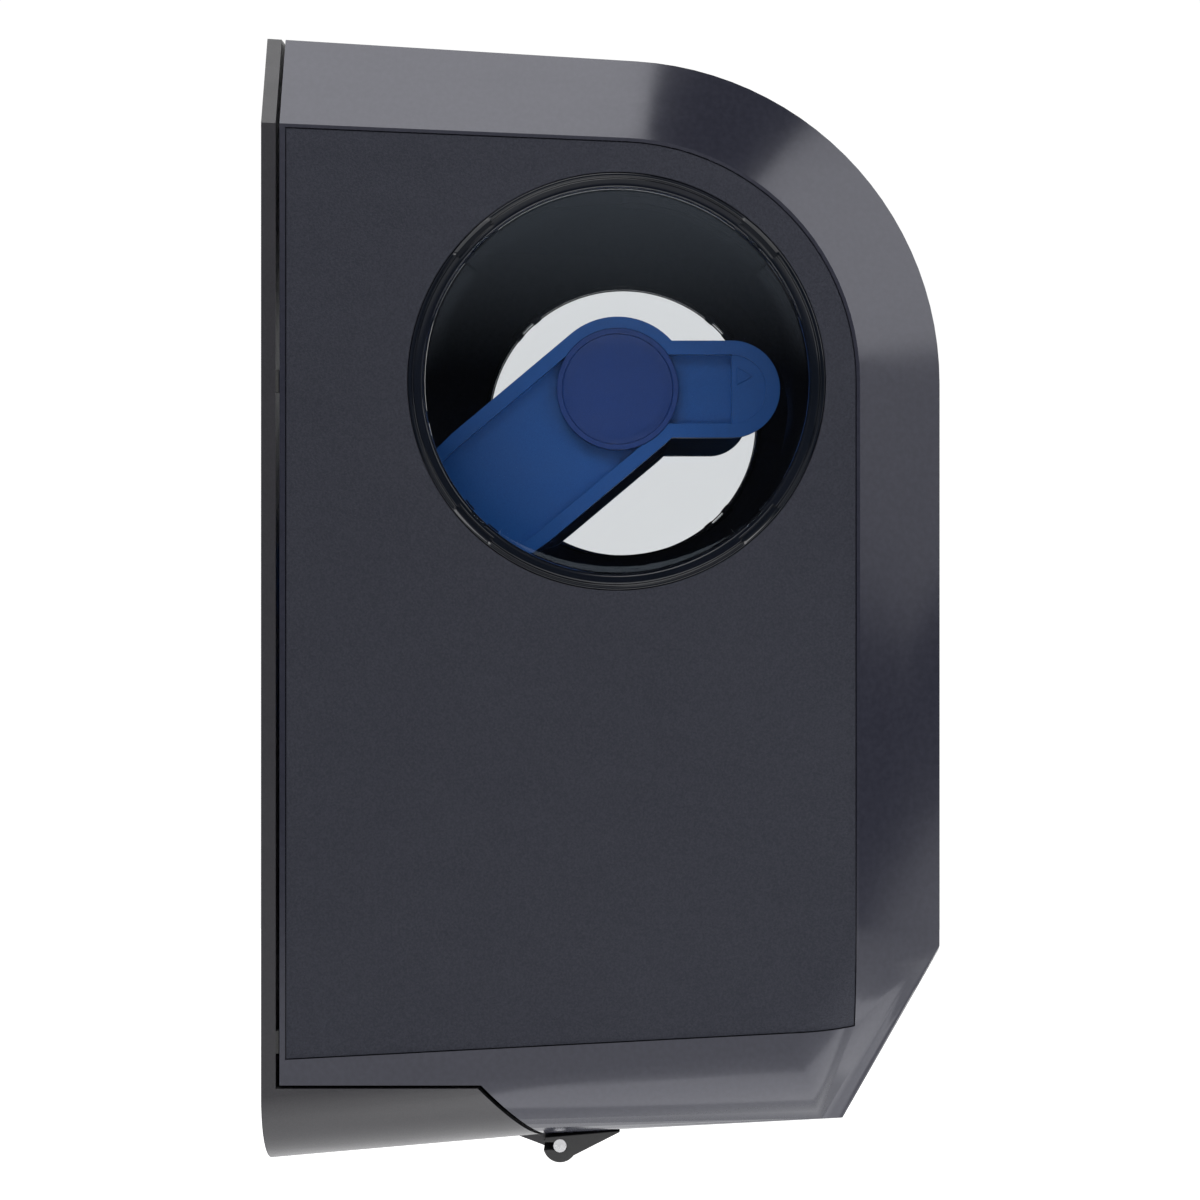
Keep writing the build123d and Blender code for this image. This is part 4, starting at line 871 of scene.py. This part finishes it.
cover_shape = merged_shape("cover_shell")
for vert in cover_shape.verts:
    vert.co = lowered(squared(vert.co / MM)) * MM
bmesh.ops.triangulate(cover_shape, faces=cover_shape.faces)
for face in cover_shape.faces:
    face.smooth = True
for edge in cover_shape.edges:
    rounded = all(in_rounding(vert.co / MM) for vert in edge.verts)
    limit = SMOOTH_ROUND_ANGLE if rounded else SMOOTH_ANGLE
    edge.smooth = edge.calc_face_angle(0.0) < math.radians(limit)
cover = piece_from("cover_shell_reshaped", cover_shape)
stands_for(cover, "cover_shell")

# %% [markdown]
# The moving insides and the lock get soft edges too, because they show from below or when the cover is
# open.

# %% Soft edges inside
inner_edges = {"lock_barrel": 0.3, "lock_collar": 0.4, "lock_tongue": 0.25, "strike_bracket": 0.25,
               "crank_disc": 0.35, "feed_wheel": 0.35, "cam_follower": 0.3, "cam_track": 0.3,
               "knife_carrier": 0.3, "pinch_frame": 0.25, "front_guide": 0.25, "rear_guide": 0.25,
               "blade_screws": 0.3, "one_way_bearing": 0.3}
for node_name, width in inner_edges.items():
    soft_edged(node_name, width)

# %% [markdown]
# ## The springs
# The dispenser has five coil springs. A spring follows a rule, so Geometry Nodes make it: a spiral is the
# path, a small circle is the wire, and Curve to Mesh draws one along the other. One tree makes them all,
# with other numbers for each.

# %% Spring tree
def geometry_tree(name, inputs):
    """An empty Geometry Nodes tree with named inputs. Returns it, what it is given and its end node."""
    tree = bpy.data.node_groups.new(name, "GeometryNodeTree")
    tree.is_modifier = True
    tree.interface.new_socket(name="Geometry", in_out="INPUT", socket_type="NodeSocketGeometry")
    for label, kind, value in inputs:
        socket = tree.interface.new_socket(name=label, in_out="INPUT", socket_type="NodeSocket" + kind)
        if value is not None:
            socket.default_value = value
    tree.interface.new_socket(name="Geometry", in_out="OUTPUT", socket_type="NodeSocketGeometry")
    return tree, tree.nodes.new("NodeGroupInput").outputs, tree.nodes.new("NodeGroupOutput")


def end_tree(tree, geometry, finish, out):
    """Makes instances real, gives the whole its finish and sends it out of the tree."""
    whole = wired(tree, "GeometryNodeRealizeInstances", Geometry=geometry)
    fed(tree, out, Geometry=wired(tree, "GeometryNodeSetMaterial", Geometry=whole, Material=finish))
    print("tree:", tree.name, len(tree.nodes), "nodes")


spring_tree, given, spring_out = geometry_tree("coil_spring", [
    ("Coil Radius", "Float", 0.004), ("Wire Radius", "Float", 0.0005), ("Length", "Float", 0.016),
    ("Turns", "Float", 8.0), ("Turn", "Rotation", None), ("Start", "Vector", (0, 0, 0)),
    ("Finish", "Material", None)])
coil = wired(spring_tree, "GeometryNodeCurveSpiral", Resolution=28, Rotations=given["Turns"],
             Start_Radius=given["Coil Radius"], End_Radius=given["Coil Radius"], Height=given["Length"])
wire = wired(spring_tree, "GeometryNodeCurvePrimitiveCircle", Resolution=10, Radius=given["Wire Radius"])
drawn_wire = wired(spring_tree, "GeometryNodeCurveToMesh", Curve=coil, Profile_Curve=wire, Fill_Caps=True)
aimed = wired(spring_tree, "GeometryNodeTransform", Geometry=drawn_wire, Translation=given["Start"],
              Rotation=given["Turn"])
smooth = wired(spring_tree, "GeometryNodeSetShadeSmooth", Geometry=aimed)
end_tree(spring_tree, smooth, given["Finish"], spring_out)


# %% Coil the springs
def grown(name, tree, places=(), **values):
    """A plain mesh that a Geometry Nodes tree makes from some points. Values are the tree's inputs."""
    mesh = bpy.data.meshes.new(name)
    mesh.from_pydata([Vector(place) for place in places], [], [])
    piece = new_object(name, mesh)
    maker = piece.modifiers.new("maker", "NODES")
    maker.node_group = tree
    for item in tree.interface.items_tree:
        label = item.name.replace(" ", "_")
        if item.in_out == "INPUT" and label in values:
            maker[item.identifier] = values[label]
    modified(piece)
    return piece


def coiled(name, start, direction, coil_radius, wire_radius, length, turns):
    """A coil from a place in a direction. Lengths are in millimetres."""
    turn = Vector((0, 0, 1)).rotation_difference(Vector(direction)).to_euler()
    return grown(name, spring_tree, Coil_Radius=coil_radius * MM, Wire_Radius=wire_radius * MM,
                 Length=length * MM, Turns=turns, Turn=turn, Start=Vector(start) * MM,
                 Finish=finishes["steel"])


def joined(target, others):
    """Adds the meshes of other pieces to one piece and deletes them."""
    shape = bmesh.new()
    shape.from_mesh(target.data)
    for other in others:
        shape.from_mesh(other.data)
        bpy.data.objects.remove(other)
    shape.to_mesh(target.data)
    shape.free()


for side_name, side in SIDES.items():
    arm_spring = "arm_spring_" + side_name
    pinch_spring = "pinch_spring_" + side_name
    stands_for(coiled(arm_spring + "_coil", start=(side * 111, -14, -26.3), direction=(0, 0, 1),
                      coil_radius=3.6, wire_radius=0.55, length=15.0, turns=11.0), arm_spring)
    stands_for(coiled(pinch_spring + "_coil", start=(side * 89.3, -60, -62), direction=(side, 0, 0),
                      coil_radius=3.9, wire_radius=0.6, length=12.8, turns=9.0), pinch_spring)

# %% [markdown]
# The drive spring pulls the crank round after each turn, so it is a tension spring: a close coil with a
# loop at each end, one on the crank's pin and one on its post. The loops are one turn each, from the same
# tree.

# %% Drive spring
SPRING_X = -122.5
PIN_PLACE = Vector((SPRING_X, -125.0, -95.0))
POST_PLACE = Vector((SPRING_X, -52.0, -152.0))
DRIVE_WIRE = 0.6
COIL_RADIUS = 3.3
COIL_TURNS = 52.0
LOOP_RADIUS = 4.3
LOOP_RISE = 0.9
LOOP_END = LOOP_RADIUS + 0.8
pull = (POST_PLACE - PIN_PLACE).normalized()
coil_start = PIN_PLACE + pull * LOOP_END
coil_length = (POST_PLACE - PIN_PLACE).length - 2 * LOOP_END
drive = coiled("drive_spring_coil", coil_start, pull, COIL_RADIUS, DRIVE_WIRE, coil_length, COIL_TURNS)
loops = []
for place in (PIN_PLACE, POST_PLACE):
    loop_start = place - Vector((LOOP_RISE / 2, 0, 0))
    loops.append(coiled("loop", loop_start, (1, 0, 0), LOOP_RADIUS, DRIVE_WIRE, LOOP_RISE, turns=1.0))
joined(drive, loops)
stands_for(drive, "drive_spring")

# %% [markdown]
# ## The screws
# Sixteen small pan-head screws hold the brackets and plates. A head is a flattened ball cut by a cross, and
# it is the same each time, so Geometry Nodes put one head on each place. The places are read from the CAD
# solids: the middle of each screw, and how far its head stands out.

# %% Screw tree
screw_tree, given, screw_out = geometry_tree("pan_screws", [
    ("Head Radius", "Float", 0.0034), ("Head Height", "Float", 0.002), ("Recess Width", "Float", 0.0009),
    ("Recess Length", "Float", 0.0038), ("Shank Radius", "Float", 0.0015),
    ("Shank Length", "Float", 0.0056), ("Finish", "Material", None)])


def vector_of(tree, x, y, z):
    """A vector from three numbers or sockets."""
    return wired(tree, "ShaderNodeCombineXYZ", X=x, Y=y, Z=z)


ball = wired(screw_tree, "GeometryNodeMeshUVSphere", Segments=32, Rings=16, Radius=1.0)
head_size = vector_of(screw_tree, given["Head Radius"], given["Head Radius"], given["Head Height"])
lift = vector_of(screw_tree, 0.0, 0.0, given["Head Height"])
cut = screw_tree.nodes.new("GeometryNodeMeshBoolean")
cut.operation = "DIFFERENCE"
head = wired(screw_tree, "GeometryNodeTransform", Geometry=ball, Scale=head_size)
screw_tree.links.new(head, cut.inputs[0])
for along_x, along_y in (("Recess Length", "Recess Width"), ("Recess Width", "Recess Length")):
    bar_size = vector_of(screw_tree, given[along_x], given[along_y], given["Head Height"])
    bar = wired(screw_tree, "GeometryNodeMeshCube", Size=bar_size)
    raised = wired(screw_tree, "GeometryNodeTransform", Geometry=bar, Translation=lift)
    screw_tree.links.new(raised, cut.inputs[1])
shank = wired(screw_tree, "GeometryNodeMeshCylinder", Vertices=16, Radius=given["Shank Radius"],
              Depth=given["Shank Length"])
half_down = vector_of(screw_tree, 0.0, 0.0, maths(screw_tree, "MULTIPLY", given["Shank Length"], -0.5))
sunk = wired(screw_tree, "GeometryNodeTransform", Geometry=shank, Translation=half_down)
screw = screw_tree.nodes.new("GeometryNodeJoinGeometry")
for part in (cut.outputs[0], sunk):
    screw_tree.links.new(part, screw.inputs[0])
spread = wired(screw_tree, "GeometryNodeInstanceOnPoints", Points=given["Geometry"],
               Instance=screw.outputs[0])
turned_out = wired(screw_tree, "GeometryNodeRotateInstances", Instances=spread,
                   Rotation=(math.radians(90), 0.0, 0.0))
end_tree(screw_tree, turned_out, given["Finish"], screw_out)

# %% [markdown]
# The CAD solid of the screws has sixteen separate bodies. Each body's box says where its screw sits.

# %% Place the screws
def islands(node_name):
    """The lowest and highest corner of each separate body in a CAD solid."""
    shape = merged_shape(node_name)
    left = set(shape.verts)
    boxes = []
    while left:
        reached = [left.pop()]
        for vert in reached:
            for edge in vert.link_edges:
                other = edge.other_vert(vert)
                if other in left:
                    left.remove(other)
                    reached.append(other)
        along_axes = list(zip(*[vert.co for vert in reached]))
        boxes.append([Vector([pick(values) for values in along_axes]) for pick in (min, max)])
    shape.free()
    return sorted(boxes, key=lambda box: tuple(box[0]))


HEAD_RADIUS = 3.4
HEAD_HEIGHT = 2.0
screw_places = []
for low, high in islands("plate_screws"):
    screw_places.append(((low.x + high.x) / 2, low.y + HEAD_HEIGHT * MM, (low.z + high.z) / 2))
screws = grown("pan_screws", screw_tree, screw_places, Head_Radius=HEAD_RADIUS * MM,
               Head_Height=HEAD_HEIGHT * MM, Finish=finishes["zinc"])
smooth_shaded(screws, angle=40)
stands_for(screws, "plate_screws")
print("screws:", len(screw_places))

# %% [markdown]
# ## The mark on the finger tab
# The tab of each arm has a small raised arrow that shows which way to push it. It is three low bars, which
# join the arm's own mesh.

# %% Arrow on the tab
def low_bar(shape, face_x, side, start, end, width, height):
    """A low straight bar on a face square to X, from one (Y, Z) to another, in millimetres."""
    along = Vector((0, end[0] - start[0], end[1] - start[1])).normalized()
    across = Vector((1, 0, 0)).cross(along) * width / 2
    rise = Vector((side * height, 0, 0))
    corners = []
    for out, shrink in ((Vector(), 1.0), (rise, 0.5)):
        for place in (start, end):
            for sign in (-1, 1):
                corners.append((Vector((face_x, place[0], place[1])) + across * sign * shrink + out) * MM)
    verts = [shape.verts.new(corner) for corner in corners]
    for face in ((0, 1, 3, 2), (4, 6, 7, 5), (0, 2, 6, 4), (1, 5, 7, 3), (0, 4, 5, 1), (2, 3, 7, 6)):
        shape.faces.new([verts[index] for index in face])


TAB_FACE = 114.15
ARROW = ((-178.0, 81.0), (-172.4, 84.2), (-172.4, 77.8))
for side_name, side in SIDES.items():
    arrow = bmesh.new()
    for start, end in zip(ARROW, ARROW[1:] + ARROW[:1]):
        low_bar(arrow, side * TAB_FACE, side, start, end, width=0.55, height=0.3)
    bmesh.ops.recalc_face_normals(arrow, faces=arrow.faces)
    mark = piece_from("arrow_" + side_name, arrow)
    joined(soft_pieces["roll_arm_" + side_name], [mark])
    print("arrow on", soft_pieces["roll_arm_" + side_name].name)

# %% [markdown]
# ## The hubs' faces
# Each hub is closed by a flat disc that lies just inside its lip. The CAD solid is open there, so a disc
# with a rounded edge joins the hub's own mesh.

# %% Hub discs
HUB_FACE = 115.1
DISC_RADIUS = 20.9
DISC_EDGE = 0.3
DISC_DEPTH = 1.2
DISC_MIDDLE = 0.02
DISC_STEPS = 96


def hub_disc(side):
    """A thin flat disc about the roll's axis, with a rounded edge."""
    shape = bmesh.new()
    points = [(HUB_FACE, DISC_MIDDLE)] + [(HUB_FACE, DISC_RADIUS * step / 5) for step in (1, 2, 3, 4)]
    points += edge_round(HUB_FACE - DISC_EDGE, DISC_RADIUS - DISC_EDGE, DISC_EDGE, 90, 0, 3)
    points.append((HUB_FACE - DISC_DEPTH, DISC_RADIUS))
    rows = turned_rows(shape, side, [(360.0 * step / DISC_STEPS, points) for step in range(DISC_STEPS)])
    shape.faces.new([row[0] for row in rows])
    shape.faces.new([row[-1] for row in rows])
    bmesh.ops.recalc_face_normals(shape, faces=shape.faces)
    disc = piece_from("hub_disc", shape)
    smooth_shaded(disc)
    return disc


for side_name, side in SIDES.items():
    joined(soft_pieces["roll_hub_" + side_name], [hub_disc(side)])
    print("disc on", soft_pieces["roll_hub_" + side_name].name)
